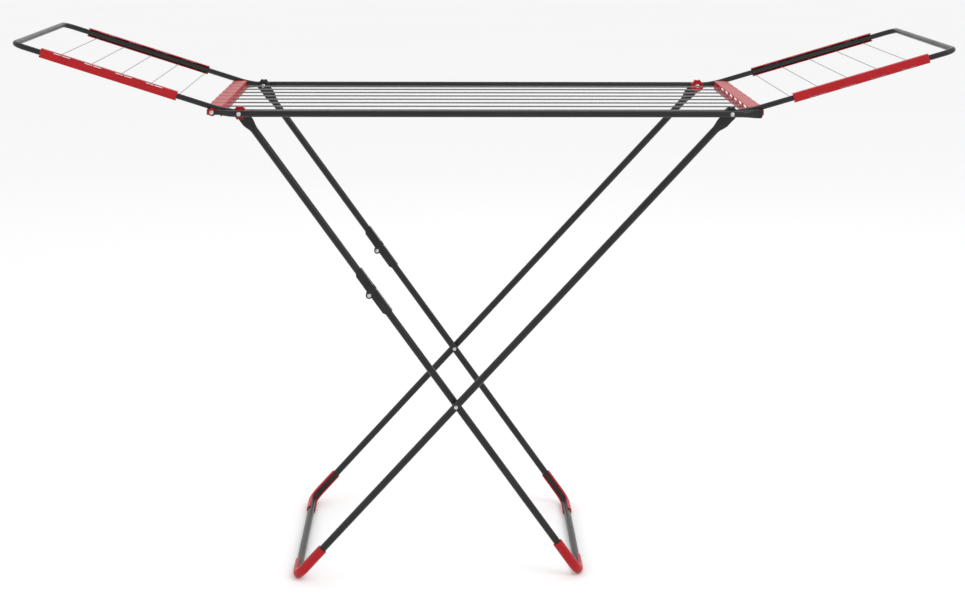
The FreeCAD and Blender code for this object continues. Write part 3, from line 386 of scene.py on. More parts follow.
def knee_upper_leg():
    """Rear upper tube of the leg with the knee: a pressed top, then a round tube, open at the knee."""
    top = leg_top(KNEE_LANE)
    end, radius, inner = KNEE_DOWN - KNEE_GAP / 2, LEG_TUBE / 2, LEG_TUBE / 2 - TUBE_WALL
    down = plain_sections(np.linspace(top[-1, 0, 0], end - KNEE_LIP, 14)[1:], radius)
    rim = plain_sections([end, end], radius - KNEE_LIP)
    rim[1] = plain_sections([end], inner + 0.1)[0]
    bore = plain_sections([end - 0.4, end - KNEE_BORE], inner)
    tube = np.concatenate([down, rim, bore])
    tube[..., 1] -= KNEE_LANE
    local = np.concatenate([top, tube]) * np.array([1, -1, 1])
    return loft(in_leg(LEFT_PIVOT, KNEE_AXES, local), caps="strip")


def knee_lower_leg():
    """Lower part of the leg with the knee: a U of tube, open at both ends, with a drain hole in its foot
    tube.  The hole's cutter is a slanted cylinder: the same tilted circle at two depths."""
    start, radius, inner = KNEE_DOWN + KNEE_GAP / 2, LEG_TUBE / 2, LEG_TUBE / 2 - TUBE_WALL

    def skin(size):
        return foot_bend(start, KNEE_LONG, KNEE_LANE, lambda path: circle(np.full(len(path), size)))

    outer, bore = skin(radius), skin(inner)
    local = np.concatenate([outer, bore[::-1]])
    shell = loft(in_leg(LEFT_PIVOT, KNEE_AXES, local), ring=True)
    turn = ring_angles(20)[:, None]
    tilted = np.array([-1.0, 0.0, -1.0]) * 0.7 * DRAIN_RADIUS
    hole = ACROSS * DRAIN_RADIUS * np.cos(turn) + tilted * np.sin(turn)
    drain = np.array([(KNEE_LONG - reach, DRAIN_FROM_MIDDLE, reach) + hole for reach in (2.0, 9.0)])
    return combined("leg_a_lower_tube", shell, [loft(in_leg(LEFT_PIVOT, KNEE_AXES, drain))], "DIFFERENCE")


# --------------------------------------------------------------------- wings

WING_SLOPE = math.radians(16.6)
LEFT_LIFT = math.radians(1.2)        # the left wing stands this much steeper
START_SLOPE = math.radians(8.0)
BEND = np.array([525.0, 0.0, HEIGHT + (525.0 - PIVOT) * math.tan(START_SLOPE)])
WING_OUT = np.array([math.cos(WING_SLOPE), 0.0, math.sin(WING_SLOPE)])
WING_UP = np.array([-math.sin(WING_SLOPE), 0.0, math.cos(WING_SLOPE)])
START_OUT = np.array([math.cos(START_SLOPE), 0.0, math.sin(START_SLOPE)])
WING_REACH = 925.0
WING_CORNER = 22.0
BEND_EASE = 14.0
HUB_SOCKET = 7.0


def on_wing(reach):
    """Point of the right wing's plane at this x."""
    return BEND + WING_OUT * ((reach - BEND[0]) / WING_OUT[0])


def lifted(points):
    """Points of the left wing, turned about its pivot so that its tip rises by LEFT_LIFT."""
    c, s = math.cos(LEFT_LIFT), math.sin(LEFT_LIFT)
    about_y = np.array([[c, 0.0, -s], [0.0, 1.0, 0.0], [s, 0.0, c]])
    return LEFT_PIVOT + (points - LEFT_PIVOT) @ about_y


def as_wing(shell, x_sign, y_sign=1):
    """The right wing's shell as a piece of either wing, mirrored to the side and end it belongs to."""
    points, faces = mirrored(shell, x_sign, y_sign)
    return (lifted(points) if x_sign < 0 else points), faces


def wing_tube():
    """Right wing's tube: out of one hub, up at a gentle bend, round two corners, back to the other hub."""
    start, end = RIGHT_PIVOT + START_OUT * HUB_SOCKET, on_wing(WING_REACH)
    front, rear = -ACROSS * WING_LANE, ACROSS * WING_LANE
    gentle = BEND_EASE / math.tan((WING_SLOPE - START_SLOPE) / 2)
    turns = [start + front, BEND + front, end + front, end + rear, BEND + rear, start + rear]
    path, heading = bent_path(turns, (gentle, WING_CORNER, WING_CORNER, gentle))
    return loft(carried(path, heading, WING_UP, circle(np.full(len(path), WING_TUBE / 2), 40)))


RAIL_FIRST, RAIL_LONG, RAIL_TALL, RAIL_WALL = 608.0, 276.0, 18.0, 1.3
RAIL_OPEN, RAIL_WEB, RAIL_ROUND = -3.2, 7.15, 0.6
LINE_FIRST, LINE_PITCH, LINE_DROP = 612.0, 59.5, 6.4
WINDOW_BACK = 18.0                         # from a line back to the window's middle
WINDOW_DEEP, WINDOW_HALF = 0.7, 4.2
WING_LINES = 5
SLOT_FROM, SLOT_TO, SLOT_TALL = 1.0, 16.5, 1.6


def rail(slots_up):
    """Right wing's rear rail: a channel profile carried along the tube, with paired slots and a sunk window
    beside each of four lines; cells of the grid are left out where a slot goes through."""
    half = RAIL_TALL / 2 - RAIL_WALL / 2
    slot_high = half - RAIL_ROUND
    upper = [(y, half) for y in (RAIL_OPEN, -0.5, 2.5)]
    upper += [(RAIL_WEB - RAIL_ROUND + RAIL_ROUND * math.sin(a), slot_high + RAIL_ROUND * math.cos(a))
              for a in np.linspace(0, math.pi / 2, 6)]
    web = [(RAIL_WEB, z) for z in (slot_high - SLOT_TALL, WINDOW_HALF + 0.6, WINDOW_HALF, 0.0)]
    profile = np.array(upper + web)
    profile = np.vstack([profile, (profile * np.array([1, -1]))[-2::-1]])
    if not slots_up:
        profile = profile * np.array([1, -1])
    marks = {0.0, RAIL_LONG}
    spans = []
    middles = [(LINE_FIRST + number * LINE_PITCH - WINDOW_BACK - RAIL_FIRST) / WING_OUT[0]
               for number in range(1, WING_LINES)]
    for middle in middles:
        slots = ((middle - SLOT_TO, middle - SLOT_FROM), (middle + SLOT_FROM, middle + SLOT_TO))
        spans += slots
        marks |= {place for slot in slots for place in slot}
        marks |= {middle - SLOT_TO - 1, middle + SLOT_TO + 1}
    fill = [m for m in np.arange(8.0, RAIL_LONG, 8.0) if min(abs(m - k) for k in marks) > 2.0]
    along = np.array(sorted(marks | set(fill)))
    rows, columns = len(along), len(profile)
    grid = np.empty((rows, columns, 3))
    grid[..., 0], grid[..., 1], grid[..., 2] = along[:, None], profile[None, :, 0], profile[None, :, 1]
    sunk = (np.abs(profile[:, 1]) < WINDOW_HALF + 0.3) & (profile[:, 0] > RAIL_WEB - 0.1)
    for middle in middles:
        inside = np.abs(along - middle) < SLOT_TO + 0.5
        grid[np.ix_(inside, sunk, [1])] -= WINDOW_DEEP
    slot_row = len(upper) - 1
    faces = []
    for i in range(rows - 1):
        centre = (along[i] + along[i + 1]) / 2
        in_slot = any(a < centre < b for a, b in spans)
        for j in range(columns - 1):
            if not (in_slot and j == slot_row):
                start, after = i * columns + j, (i + 1) * columns + j
                faces.append([start, after, after + 1, start + 1])
    origin = on_wing(RAIL_FIRST) + ACROSS * WING_LANE
    axes = np.array([WING_OUT, ACROSS, WING_UP])
    return origin + grid.reshape(-1, 3) @ axes, faces


def rail_piece(name, node, body, x_sign, y_sign):
    points, faces = rail(x_sign < 0 or y_sign > 0)
    if x_sign * y_sign < 0:
        faces = [f[::-1] for f in faces]
    points = points * np.array([x_sign, y_sign, 1.0])
    thing = thickened(name, lifted(points) if x_sign < 0 else points, faces, RAIL_WALL, 0.3)
    return piece(name, thing, body, "red_plastic", [node], 40)


def turned_shell(profile, centre, direction, count=40):
    """A profile of (radius, height) pairs turned round an axis along y, closed by small flat faces."""
    profile = np.array(profile, float)
    turn = ring_angles(count)
    x = centre[0] + profile[:, :1] * np.cos(turn)
    z = centre[2] + profile[:, :1] * np.sin(turn)
    y = centre[1] + direction * np.repeat(profile[:, 1:], count, 1)
    return loft(np.stack([x, y, z], -1))


HUB_RADIUS, HUB_THICK, LOBE_RING, LOBE_RADIUS = 12.6, 12.3, 11.2, 3.0
HUB_BOSS, HUB_BORE, HUB_SUNK = 8.0, 4.0, 1.3


def hub(inner, outer, boss):
    """Right rear hub between two y values: a disc with eight lobes and rounded edges, whose faces are sunk
    round the middle and crossed by eight ribs.  The radius over the angle is a soft maximum, a logarithm of
    summed exponentials, of the disc's and the lobe's; the boss in the middle reaches from boss[0] to
    boss[1]."""
    turn = ring_angles(144)
    off = (np.degrees(turn) % 45.0) - 22.5
    sway = LOBE_RING * np.sin(np.radians(off))
    lobe = LOBE_RING * np.cos(np.radians(off)) + np.sqrt(np.clip(LOBE_RADIUS ** 2 - sway ** 2, 0, None))
    lobe = np.where(np.abs(sway) < LOBE_RADIUS, lobe, 0)
    rim = np.log(np.exp(HUB_RADIUS * 3) + np.exp(lobe * 3)) / 3
    rib = np.clip((np.abs(off) - 15) / 4, 0, 1)
    rib = 1 - smooth_step(1 - rib)
    soft = 1.0
    edge = np.linspace(0, math.pi / 2, 5)
    rows = []

    def face(level, way, boss_level):
        place = [(HUB_BORE, boss_level), (HUB_BOSS - 0.6, boss_level), (HUB_BOSS, boss_level - way * 0.5),
                 (HUB_BOSS, level - way * HUB_SUNK)]
        out = [np.stack([np.full_like(turn, r), np.full_like(turn, y)], -1) for r, y in place]
        for share, depth in ((0.0, HUB_SUNK), (0.8, HUB_SUNK), (0.9, 0.0)):
            radius = HUB_BOSS + (rim - soft - HUB_BOSS) * share
            out.append(np.stack([np.maximum(radius, HUB_BOSS + 0.02), level - way * depth * (1 - rib)], -1))
        return out

    rows += face(inner, -1, boss[0])
    for a in edge:
        level = inner + soft - soft * math.cos(a)
        rows.append(np.stack([rim - soft + soft * math.sin(a), np.full_like(turn, level)], -1))
    for a in edge:
        level = outer - soft + soft * math.sin(a)
        rows.append(np.stack([rim - soft + soft * math.cos(a), np.full_like(turn, level)], -1))
    rows += face(outer, 1, boss[1])[::-1]
    grid = np.array(rows)
    radius, y = grid[..., 0], grid[..., 1]
    return loft(np.stack([PIVOT + radius * np.cos(turn), y, HEIGHT + radius * np.sin(turn)], -1))


# ------------------------------------------------------------------ end bars

BAR_INNER, BAR_WIDE, BAR_WALL, BAR_HALF_LONG = 521.5, 27.5, 3.0, 243.0
BAR_MIDDLE, WALL_MIDDLE = BAR_INNER + BAR_WIDE / 2, BAR_INNER + BAR_WALL / 2
HOOD_LOW, HOOD_HIGH, WALL_LOW, WALL_HIGH = 9.0, 11.0, -8.5, 3.5
SADDLE_LOW, SADDLE_HIGH, SADDLE_GAP = -3.5, 7.0, 0.3
BAR_CELLS = 8
TILE_RISE, TILE_SWELL = 2.2, 1.6
MAIN_LINES = (np.arange(8) - 3.5) * 62.0


def hood(skew):
    """Right bar's hood: a rounded outline carried along y.  In each of eight cells the top rises like a roof
    tile and the outer edge swells in an arc; the cells' edges are slanted by `skew`."""
    share = np.array([0, 0.015, 0.06, 0.14, 0.25, 0.37, 0.5, 0.63, 0.75, 0.86, 0.94, 0.985])
    cell = np.concatenate([share + k for k in range(BAR_CELLS)] + [[BAR_CELLS]])
    phase = np.append(np.tile(share, BAR_CELLS), 1.0)
    pitch = 2 * BAR_HALF_LONG / BAR_CELLS
    half = BAR_WIDE / 2
    outline = rounded_box(half, (HOOD_HIGH - HOOD_LOW) / 2, 0.9, 6)
    across, up = outline[:, 0], outline[:, 1]
    tile = TILE_RISE * np.sin(np.pi * np.clip(phase, 0, 1)) ** 0.35 * (0.15 + 0.85 * phase)
    swell = TILE_SWELL * np.sin(np.pi * phase) ** 0.5
    taper = np.clip(np.minimum(cell, BAR_CELLS - cell) * 6, 0, 1)
    x = across[None] + np.clip(across[None] / half, 0, 1) * swell[:, None]
    fade = np.clip(1.15 - (across[None] / (half + 1)) ** 4, 0, 1)
    z = up[None] + (up[None] > 0.05) * tile[:, None] * fade
    y = -BAR_HALF_LONG + pitch * cell[:, None] + skew * across[None] * taper[:, None]
    return loft(np.stack([BAR_MIDDLE + x, y, HEIGHT + (HOOD_LOW + HOOD_HIGH) / 2 + z], -1))


def wall(top):
    """Right bar's upright wall under the hood's inner edge, its ends rounded off over two millimetres."""
    outline = rounded_box(BAR_WALL / 2, (top - WALL_LOW) / 2, 0.9)
    y = np.array([-BAR_HALF_LONG, -BAR_HALF_LONG + 0.8, -BAR_HALF_LONG + 2.0])
    y = np.concatenate([y, np.linspace(-200, 200, 9), -y[::-1]])
    grow = np.where(np.abs(y) > BAR_HALF_LONG - 0.1, 0.93, 1.0)[:, None]
    x = WALL_MIDDLE + outline[None, :, 0] * grow
    z = HEIGHT + (WALL_LOW + top) / 2 + outline[None, :, 1] * grow
    return loft(np.stack([x, np.repeat(y[:, None], len(outline), 1), z], -1))


def post(y):
    """One post between wall and hood; it flares at both ends, so that the gaps between posts are ovals."""
    share = np.linspace(0, 1, 11)[:, None]
    flare = 7.0 * np.abs(2 * share - 1) ** 3.0
    low, high = HEIGHT + WALL_HIGH - 1.0, HEIGHT + HOOD_LOW + 0.8
    outline = rounded_box(1.0, 1.0, 0.45)
    x = WALL_MIDDLE + outline[None, :, 0] * (BAR_WALL / 2 - 0.1)
    z = np.repeat(low + (high - low) * share, len(outline), 1)
    return loft(np.stack([np.repeat(x, len(share), 0), y + outline[None, :, 1] * (9.0 + flare), z], -1))


def saddle():
    """Cradle at the bar's rear end: a block with a half-round trough for the wing tube, which follows it."""
    x = np.linspace(BAR_INNER, BAR_INNER + BAR_WIDE, 13)
    centre = np.where(x < BEND[0], RIGHT_PIVOT[2] + (x - PIVOT) * math.tan(START_SLOPE),
                      BEND[2] + (x - BEND[0]) * math.tan(WING_SLOPE))
    inner, outer = BAR_HALF_LONG - 1.0, TUBE_INNER - SLIDE
    low, high, trough = HEIGHT + SADDLE_LOW, HEIGHT + SADDLE_HIGH, WING_TUBE / 2 + SADDLE_GAP
    turn = np.linspace(0, math.pi, 17)
    arc_y = WING_LANE + trough * np.cos(turn)
    sections = []
    for place, middle in zip(x, centre):
        arc_z = np.minimum(middle - trough * np.sin(turn), high - 0.01)
        outline = [(inner + 1, low), (outer - 1, low), (outer, low + 1), (outer, high - 0.6),
                   (outer - 0.6, high)]
        outline += list(zip(arc_y, arc_z)) + [(inner + 0.6, high), (inner, high - 0.6), (inner, low + 1)]
        sections.append([(place, y, z) for y, z in outline])
    return loft(np.array(sections))


def boss():
    """Round boss behind the bar's riveted end."""
    outer = TUBE_INNER - SLIDE
    long = outer - WING_LANE - WING_TUBE / 2 - SADDLE_GAP
    profile = [(0.4, 0.0), (7.2, 0.0), (8.0, 0.8), (8.0, long - 0.8), (7.2, long), (0.4, long)]
    return turned_shell(profile, (TUBE_REACH[0] - TONGUE, outer - long, HEIGHT + RIVET_RISE), 1)


def end_bar(name, node, x_sign, y_sign, skew, closed):
    """One end bar as a single moulding; its wall is closed up to the hood, or open between eight posts."""
    parts = [saddle(), mirrored(saddle(), 1, -1), boss(), wall(HOOD_LOW + 0.8 if closed else WALL_HIGH)]
    parts += [post(y) for y in ([] if closed else MAIN_LINES)]
    parts = [mirrored(p, x_sign, y_sign) for p in [hood(skew)] + parts]
    thing = combined(name, parts[0], parts[1:], "UNION")
    return piece(name, thing, "top_frame", "red_plastic", [node], 38)


# --------------------------------------------------------------------- feet

SLEEVE_OUT, SLEEVE_WALL, SLEEVE_OPEN = 10.3, 2.6, math.radians(52.0)
SLEEVE_LEG, SLEEVE_BAR = 80.0, 88.0


def sleeve(pivot, axes, length, lane):
    """Foot sleeve: a C-shaped wall carried round the front corner of a leg frame, open to the inside of the
    U.  The wall's edges and both ends are rounded, and what would reach below the floor is made level with
    it."""
    turns = [(length - SLEEVE_LEG, -lane, 0), (length, -lane, 0), (length, -lane + SLEEVE_BAR, 0)]
    path, heading = bent_path(turns, (LEG_CORNER,), 8.0, 5.0)
    lead = np.array([0.0, 0.25, 0.8, 1.6])
    first = path[0] + heading[0] * lead[:, None]
    last = path[-1] - heading[-1] * lead[::-1, None]
    path = np.vstack([first, path[1:-1], last])
    heading = np.vstack([np.repeat(heading[:1], 4, 0), heading[1:-1], np.repeat(heading[-1:], 4, 0)])
    thin = np.ones(len(path))
    thin[:4] = thin[-4:][::-1] = (0.3, 0.66, 0.92, 1.0)
    spread = np.linspace(SLEEVE_OPEN, 2 * math.pi - SLEEVE_OPEN, 29)
    middle = SLEEVE_OUT - SLEEVE_WALL / 2
    lip = np.linspace(0, math.pi, 7)[1:-1]
    outer = [(spread_angle, 1.0) for spread_angle in spread]
    tail = [(spread[-1] + math.sin(a) * SLEEVE_WALL / 2 / middle, math.cos(a)) for a in lip]
    inner = [(spread_angle, -1.0) for spread_angle in spread[::-1]]
    head = [(spread[0] - math.sin(a) * SLEEVE_WALL / 2 / middle, -math.cos(a)) for a in lip]
    angle, depth = np.array(outer + tail + inner + head).T
    radius = middle + depth[None] * SLEEVE_WALL / 2 * thin[:, None]
    outlines = np.stack([radius * np.sin(angle), radius * np.cos(angle)], -1)
    local = carried(path, heading, UPWARD, outlines)
    shape = in_leg(pivot, axes, local)
    shape[..., 2] = np.maximum(shape[..., 2], 0.0)
    count, n = len(angle), len(path)
    body = grid_faces(n, count, False).tolist()
    half = len(spread)
    for start in (0, (n - 1) * count):
        facing = start + 2 * half + len(lip) - 1
        strip = [[start + i, start + i + 1, facing - i - 1, facing - i] for i in range(half - 1)]
        tail_cap = [start + half - 1] + [start + half + i for i in range(len(lip) + 1)]
        head_cap = [start + 2 * half + len(lip) - 1 + i for i in range(len(lip) + 1)] + [start]
        caps = strip + [tail_cap, head_cap]
        body += caps if start else [c[::-1] for c in caps]
    return outward(shape.reshape(-1, 3), body)


# ------------------------------------------------------- brackets and rivets

def bracket(name, node, body):
    """Folded sheet bracket: the frame's own solid, merged and with its edges rounded."""
    thing = bpy.data.objects.new(name, frame["nodes"][node].data.copy())
    bpy.context.scene.collection.objects.link(thing)
    weld = thing.modifiers.new("weld", "WELD")
    weld.merge_threshold = 0.00001
    plain = thing.modifiers.new("plain", "DECIMATE")
    plain.decimate_type, plain.angle_limit = "DISSOLVE", math.radians(1.0)
    edge = thing.modifiers.new("edge", "BEVEL")
    edge.width, edge.segments, edge.limit_method, edge.angle_limit = 0.00035, 2, "ANGLE", math.radians(40)
    return piece(name, settled(thing), body, "black_coat", [node], 38)


AXIS_HOLE = 0.02                    # turned shells stop this far from their axis


def dome(radius, tall, dimple=0.0):
    """Profile of a rivet head from its foot to its top: a short straight rim, then a quarter of an ellipse,
    with a small dimple at the top if one is asked for."""
    rim = 0.25 * tall
    out = [(radius * 0.97, 0.0), (radius, rim * 0.4), (radius, rim)]
    out += [(radius * math.cos(a) + AXIS_HOLE, rim + (tall - rim) * math.sin(a))
            for a in np.linspace(0, math.pi / 2, 10)[1:]]
    if dimple:
        out[-1] = (AXIS_HOLE, tall - dimple)
        out[-2] = (radius * 0.18, tall - dimple * 0.7)
    return out


def rivet(x, z, low, high, shank, head, heads):
    """Rivet along y between two y values, with a domed head at each end listed in `heads`."""
    radius, tall = head
    length = abs(high - low)
    way = 1 if high > low else -1
    start, finish = [(AXIS_HOLE, 0.0), (shank, 0.0)], [(shank, length), (AXIS_HOLE, length)]
    if "start" in heads:
        start = [(r, -h) for r, h in dome(radius, tall)[::-1]]
    if "finish" in heads:
        finish = [(r, length + h) for r, h in dome(radius, tall, 0.12)]
    stem = [(shank, AXIS_HOLE), (shank, length - AXIS_HOLE)]
    return turned_shell(start + stem + finish, (x, low, z), way, 32)


# ---------------------------------------------------------------- materials

def node_tree(name):
    material = bpy.data.materials.new(name)
    material.use_nodes = True
    tree = material.node_tree
    return material, tree, tree.nodes["Principled BSDF"]


def noise(tree, scale, detail=3.0, rough=0.55):
    """Noise in the object's own coordinates; scale is in features per metre."""
    place = tree.nodes.get("place") or tree.nodes.new("ShaderNodeTexCoord")
    place.name = "place"
    thing = tree.nodes.new("ShaderNodeTexNoise")
    thing.inputs["Scale"].default_value = scale
    thing.inputs["Detail"].default_value = detail
    thing.inputs["Roughness"].default_value = rough
    tree.links.new(place.outputs["Object"], thing.inputs["Vector"])
    return thing.outputs["Fac"]


def ranged(tree, value, low, high, new_low, new_high):
    """value carried from one range to another, and held inside it."""
    thing = tree.nodes.new("ShaderNodeMapRange")
    for socket, number in zip(("From Min", "From Max", "To Min", "To Max"), (low, high, new_low, new_high)):
        thing.inputs[socket].default_value = number
    tree.links.new(value, thing.inputs["Value"])
    return thing.outputs["Result"]


def mixed(tree, share, dark, light):
    """Colour between two, by share."""
    thing = tree.nodes.new("ShaderNodeMix")
    thing.data_type = "RGBA"
    thing.inputs["A"].default_value = (*dark, 1)
    thing.inputs["B"].default_value = (*light, 1)
    tree.links.new(share, thing.inputs["Factor"])
    return thing.outputs["Result"]


def bump(tree, shader, layers):
    """Small relief: a chain of bumps, each with its height in metres."""
    last = None
    for value, height, strength in layers:
        thing = tree.nodes.new("ShaderNodeBump")
        thing.inputs["Distance"].default_value = height
        thing.inputs["Strength"].default_value = strength
        tree.links.new(value, thing.inputs["Height"])
        if last:
            tree.links.new(last, thing.inputs["Normal"])
        last = thing.outputs["Normal"]
    tree.links.new(last, shader.inputs["Normal"])


def coated_steel():
    """Black powder coat: satin, with a fine orange-peel skin and faint patches of duller finish."""
    material, tree, shader = node_tree("black_coat")
    patches = noise(tree, 14.0, 4.0)
    peel = noise(tree, 700.0, 2.0)
    grain = noise(tree, 2600.0, 1.0)
    dark, light = (0.007, 0.007, 0.0075), (0.012, 0.0115, 0.012)
    colour = mixed(tree, ranged(tree, patches, 0.3, 0.7, 0, 1), dark, light)
    tree.links.new(colour, shader.inputs["Base Color"])
    tree.links.new(ranged(tree, patches, 0.25, 0.75, 0.30, 0.42), shader.inputs["Roughness"])
    shader.inputs["Specular IOR Level"].default_value = 0.34
    bump(tree, shader, [(peel, 0.00012, 0.35), (grain, 0.00003, 0.3)])
    return material


def moulded(name, dark, light, low, high):
    """Moulded plastic: colour a little uneven where the melt flowed, fine etched grain, soft gloss."""
    material, tree, shader = node_tree(name)
    flow = noise(tree, 22.0, 3.0)
    cloud = noise(tree, 160.0, 3.0)
    grain = noise(tree, 1900.0, 2.0)
    colour = mixed(tree, ranged(tree, flow, 0.3, 0.7, 0, 1), dark, light)
    tree.links.new(colour, shader.inputs["Base Color"])
    tree.links.new(ranged(tree, cloud, 0.3, 0.7, low, high), shader.inputs["Roughness"])
    shader.inputs["Specular IOR Level"].default_value = 0.22
    bump(tree, shader, [(grain, 0.00005, 0.35), (flow, 0.0004, 0.12)])
    return material


def coated_line(name, dark, light):
    """Plastic-coated drying line: soft, slightly milky, with faint scuffs along it."""
    material, tree, shader = node_tree(name)
    scuff = noise(tree, 90.0, 5.0, 0.7)
    colour = mixed(tree, ranged(tree, scuff, 0.35, 0.7, 0, 1), dark, light)
    tree.links.new(colour, shader.inputs["Base Color"])
    tree.links.new(ranged(tree, scuff, 0.3, 0.7, 0.38, 0.55), shader.inputs["Roughness"])
    bump(tree, shader, [(noise(tree, 1200.0), 0.00004, 0.3)])
    return material


def bright_zinc():
    """Zinc-plated rivets: bright metal with fine pits and dull smears."""
    material, tree, shader = node_tree("zinc")
    smear = noise(tree, 240.0, 5.0, 0.6)
    shader.inputs["Metallic"].default_value = 1.0
    tree.links.new(mixed(tree, ranged(tree, smear, 0.3, 0.7, 0, 1), (0.46, 0.46, 0.47), (0.62, 0.62, 0.61)),
                   shader.inputs["Base Color"])
    tree.links.new(ranged(tree, smear, 0.3, 0.7, 0.22, 0.42), shader.inputs["Roughness"])
    bump(tree, shader, [(noise(tree, 1500.0), 0.00004, 0.25)])
    return material


MATERIALS = {
    "black_coat": coated_steel(),
    "red_plastic": moulded("red_plastic", (0.35, 0.006, 0.010), (0.41, 0.008, 0.013), 0.34, 0.44),
    "black_plastic": moulded("black_plastic", (0.014, 0.014, 0.015), (0.024, 0.023, 0.024), 0.38, 0.5),
    "grey_line": coated_line("grey_line", (0.10, 0.10, 0.10), (0.15, 0.15, 0.15)),
    "thin_line": coated_line("thin_line", (0.12, 0.12, 0.12), (0.18, 0.18, 0.18)),
    "zinc": bright_zinc(),
}


# --------------------------------------------------------------------- build

def tubes():
    """Every tube, made once and mirrored to its twin."""
    def tube(name, shell, body, node):
        piece(name, shell, body, "black_coat", [node])

    rear, wing, upper = main_tube(), wing_tube(), knee_upper_leg()
    tube("main_tube_rear_skin", rear, "top_frame", "main_tube_rear")
    tube("main_tube_front_skin", mirrored(rear, -1, -1), "top_frame", "main_tube_front")
    tube("wing_tube_right_skin", wing, "wing_right", "wing_tube_right")
    tube("wing_tube_left_skin", as_wing(wing, -1), "wing_left", "wing_tube_left")
    tube("leg_a_upper_rear_skin", upper, "leg_a_upper", "leg_a_upper_rear")
    tube("leg_a_upper_front_skin", mirrored(upper, 1, -1), "leg_a_upper", "leg_a_upper_front")
    tube("leg_a_lower_skin", knee_lower_leg(), "leg_a_lower", "leg_a_lower_frame")
    tube("leg_b_skin", straight_leg(), "leg_b", "leg_b_frame")


def plastics():
    """Rails, hubs, end bars and foot sleeves.  The hubs' colours swap from corner to corner."""
    for word, x_sign in (("left", -1), ("right", 1)):
        for end, y_sign in (("front", -1), ("rear", 1)):
            rail_piece("rail_%s_%s_moulding" % (word, end), "wing_rail_%s_%s" % (word, end), "wing_" + word,
                       x_sign, y_sign)
            node = "wing_hub_%s_%s" % (word, end)
            low, high = corners(node)
            outer, inner = (high[1], low[1]) if y_sign > 0 else (-low[1], -high[1])
            shell = hub(WING_LANE - HUB_THICK / 2, WING_LANE + HUB_THICK / 2, (inner, outer))
            slot = "red_plastic" if x_sign * y_sign > 0 else "black_plastic"
            piece(node + "_moulding", as_wing(shell, x_sign, y_sign), "wing_" + word, slot, [node], 38)
    end_bar("end_bar_right_moulding", "end_bar_right", 1, 1, 0.14, False)
    end_bar("end_bar_left_moulding", "end_bar_left", -1, -1, -0.14, True)
    for letter, pivot, axes, length, lane, body in (
            ("a", LEFT_PIVOT, KNEE_AXES, KNEE_LONG, KNEE_LANE, "leg_a_lower"),
            ("b", RIGHT_PIVOT, STRAIGHT_AXES, STRAIGHT_LONG, STRAIGHT_LANE, "leg_b")):
        front = sleeve(pivot, axes, length, lane)
        for end, shell in (("front", front), ("rear", mirrored(front, 1, -1))):
            node = "foot_%s_%s" % (letter, end)
            piece(node + "_sleeve", shell, body, "red_plastic", [node], 40)


BIG_HEAD, SMALL_HEAD = (4.2, 2.6), (4.0, 1.3)                  # radius and height
PIVOT_SHANK, BAR_SHANK, PIN_SHANK, CROSS_SHANK = 3.0, 2.2, 2.2, 2.5     # radii
CROSS_HALF_GAP = 0.15               # the crossing rivet is in two halves, this far from its middle


def metal_fittings():
    """Knee brackets and every rivet, one piece to each frame node."""
    for part, body in (("upper", "leg_a_upper"), ("lower", "leg_a_lower")):
        for end in ("front", "rear"):
            bracket("bracket_%s_%s_sheet" % (part, end), "knee_bracket_%s_%s" % (part, end), body)
    both, outside = ("start", "finish"), ("finish",)
    half_leg = LEG_TUBE / 2
    plate_in = KNEE_LANE + half_leg - PLATE["thick"] - SLIDE
    hub_in = corners("wing_hub_right_rear")[0][1] - SLIDE
    crossing = (corners("crossing_rivets_outer")[0] + corners("crossing_rivets_outer")[1]) / 2
    pin_reach = corners("knee_pins")[1][1] - KNEE_LANE - SMALL_HEAD[1]
    between = (KNEE_LANE + STRAIGHT_LANE) / 2
    pivots, bars, pins, inner, outer = [], [], [], [], []
    for side in (-1, 1):
        for x, start in ((-PIVOT, plate_in), (PIVOT, hub_in)):
            pivots.append(rivet(x, HEIGHT, side * start, side * (FRAME_LANE + FRAME_TUBE / 2), PIVOT_SHANK,
                                BIG_HEAD, both))
        for x_side in (-1, 1):
            bars.append(rivet(x_side * (TUBE_REACH[0] - TONGUE), HEIGHT + RIVET_RISE,
                              side * (WING_LANE + 6.1), side * (TUBE_INNER + CRUSH), BAR_SHANK, BIG_HEAD,
                              outside if x_side == side else ()))
        pins.append(rivet(KNEE[0], KNEE[2], side * (KNEE_LANE - pin_reach), side * (KNEE_LANE + pin_reach),
                          PIN_SHANK, SMALL_HEAD, both))
        inner.append(rivet(crossing[0], crossing[2], side * (between - CROSS_HALF_GAP),
                           side * (KNEE_LANE - half_leg), CROSS_SHANK, SMALL_HEAD, outside))
        outer.append(rivet(crossing[0], crossing[2], side * (between + CROSS_HALF_GAP),
                           side * (STRAIGHT_LANE + half_leg), CROSS_SHANK, SMALL_HEAD, outside))
    for name, shells, body, node in (
            ("pivot_rivet_heads", pivots, "top_frame", "pivot_rivets"),
            ("bar_rivet_heads", bars, "top_frame", "bar_rivets"),
            ("knee_pin_heads", pins, "leg_a_upper", "knee_pins"),
            ("crossing_inner_heads", inner, "leg_a_lower", "crossing_rivets_inner"),
            ("crossing_outer_heads", outer, "leg_b", "crossing_rivets_outer")):
        piece(name, joined(shells), body, "zinc", [node])


MAIN_LINE, WING_LINE = 1.5, 0.7       # radii


def line_shell(start, finish, radius, count=16):
    """A taut line as a thin tube with a section every sixty millimetres or so."""
    path, heading = bent_path([start, finish], (), 60.0)
    square = UPWARD if abs(heading[0][2]) < 0.9 else ACROSS
    return loft(carried(path, heading, square, circle(np.full(len(path), radius), count)))


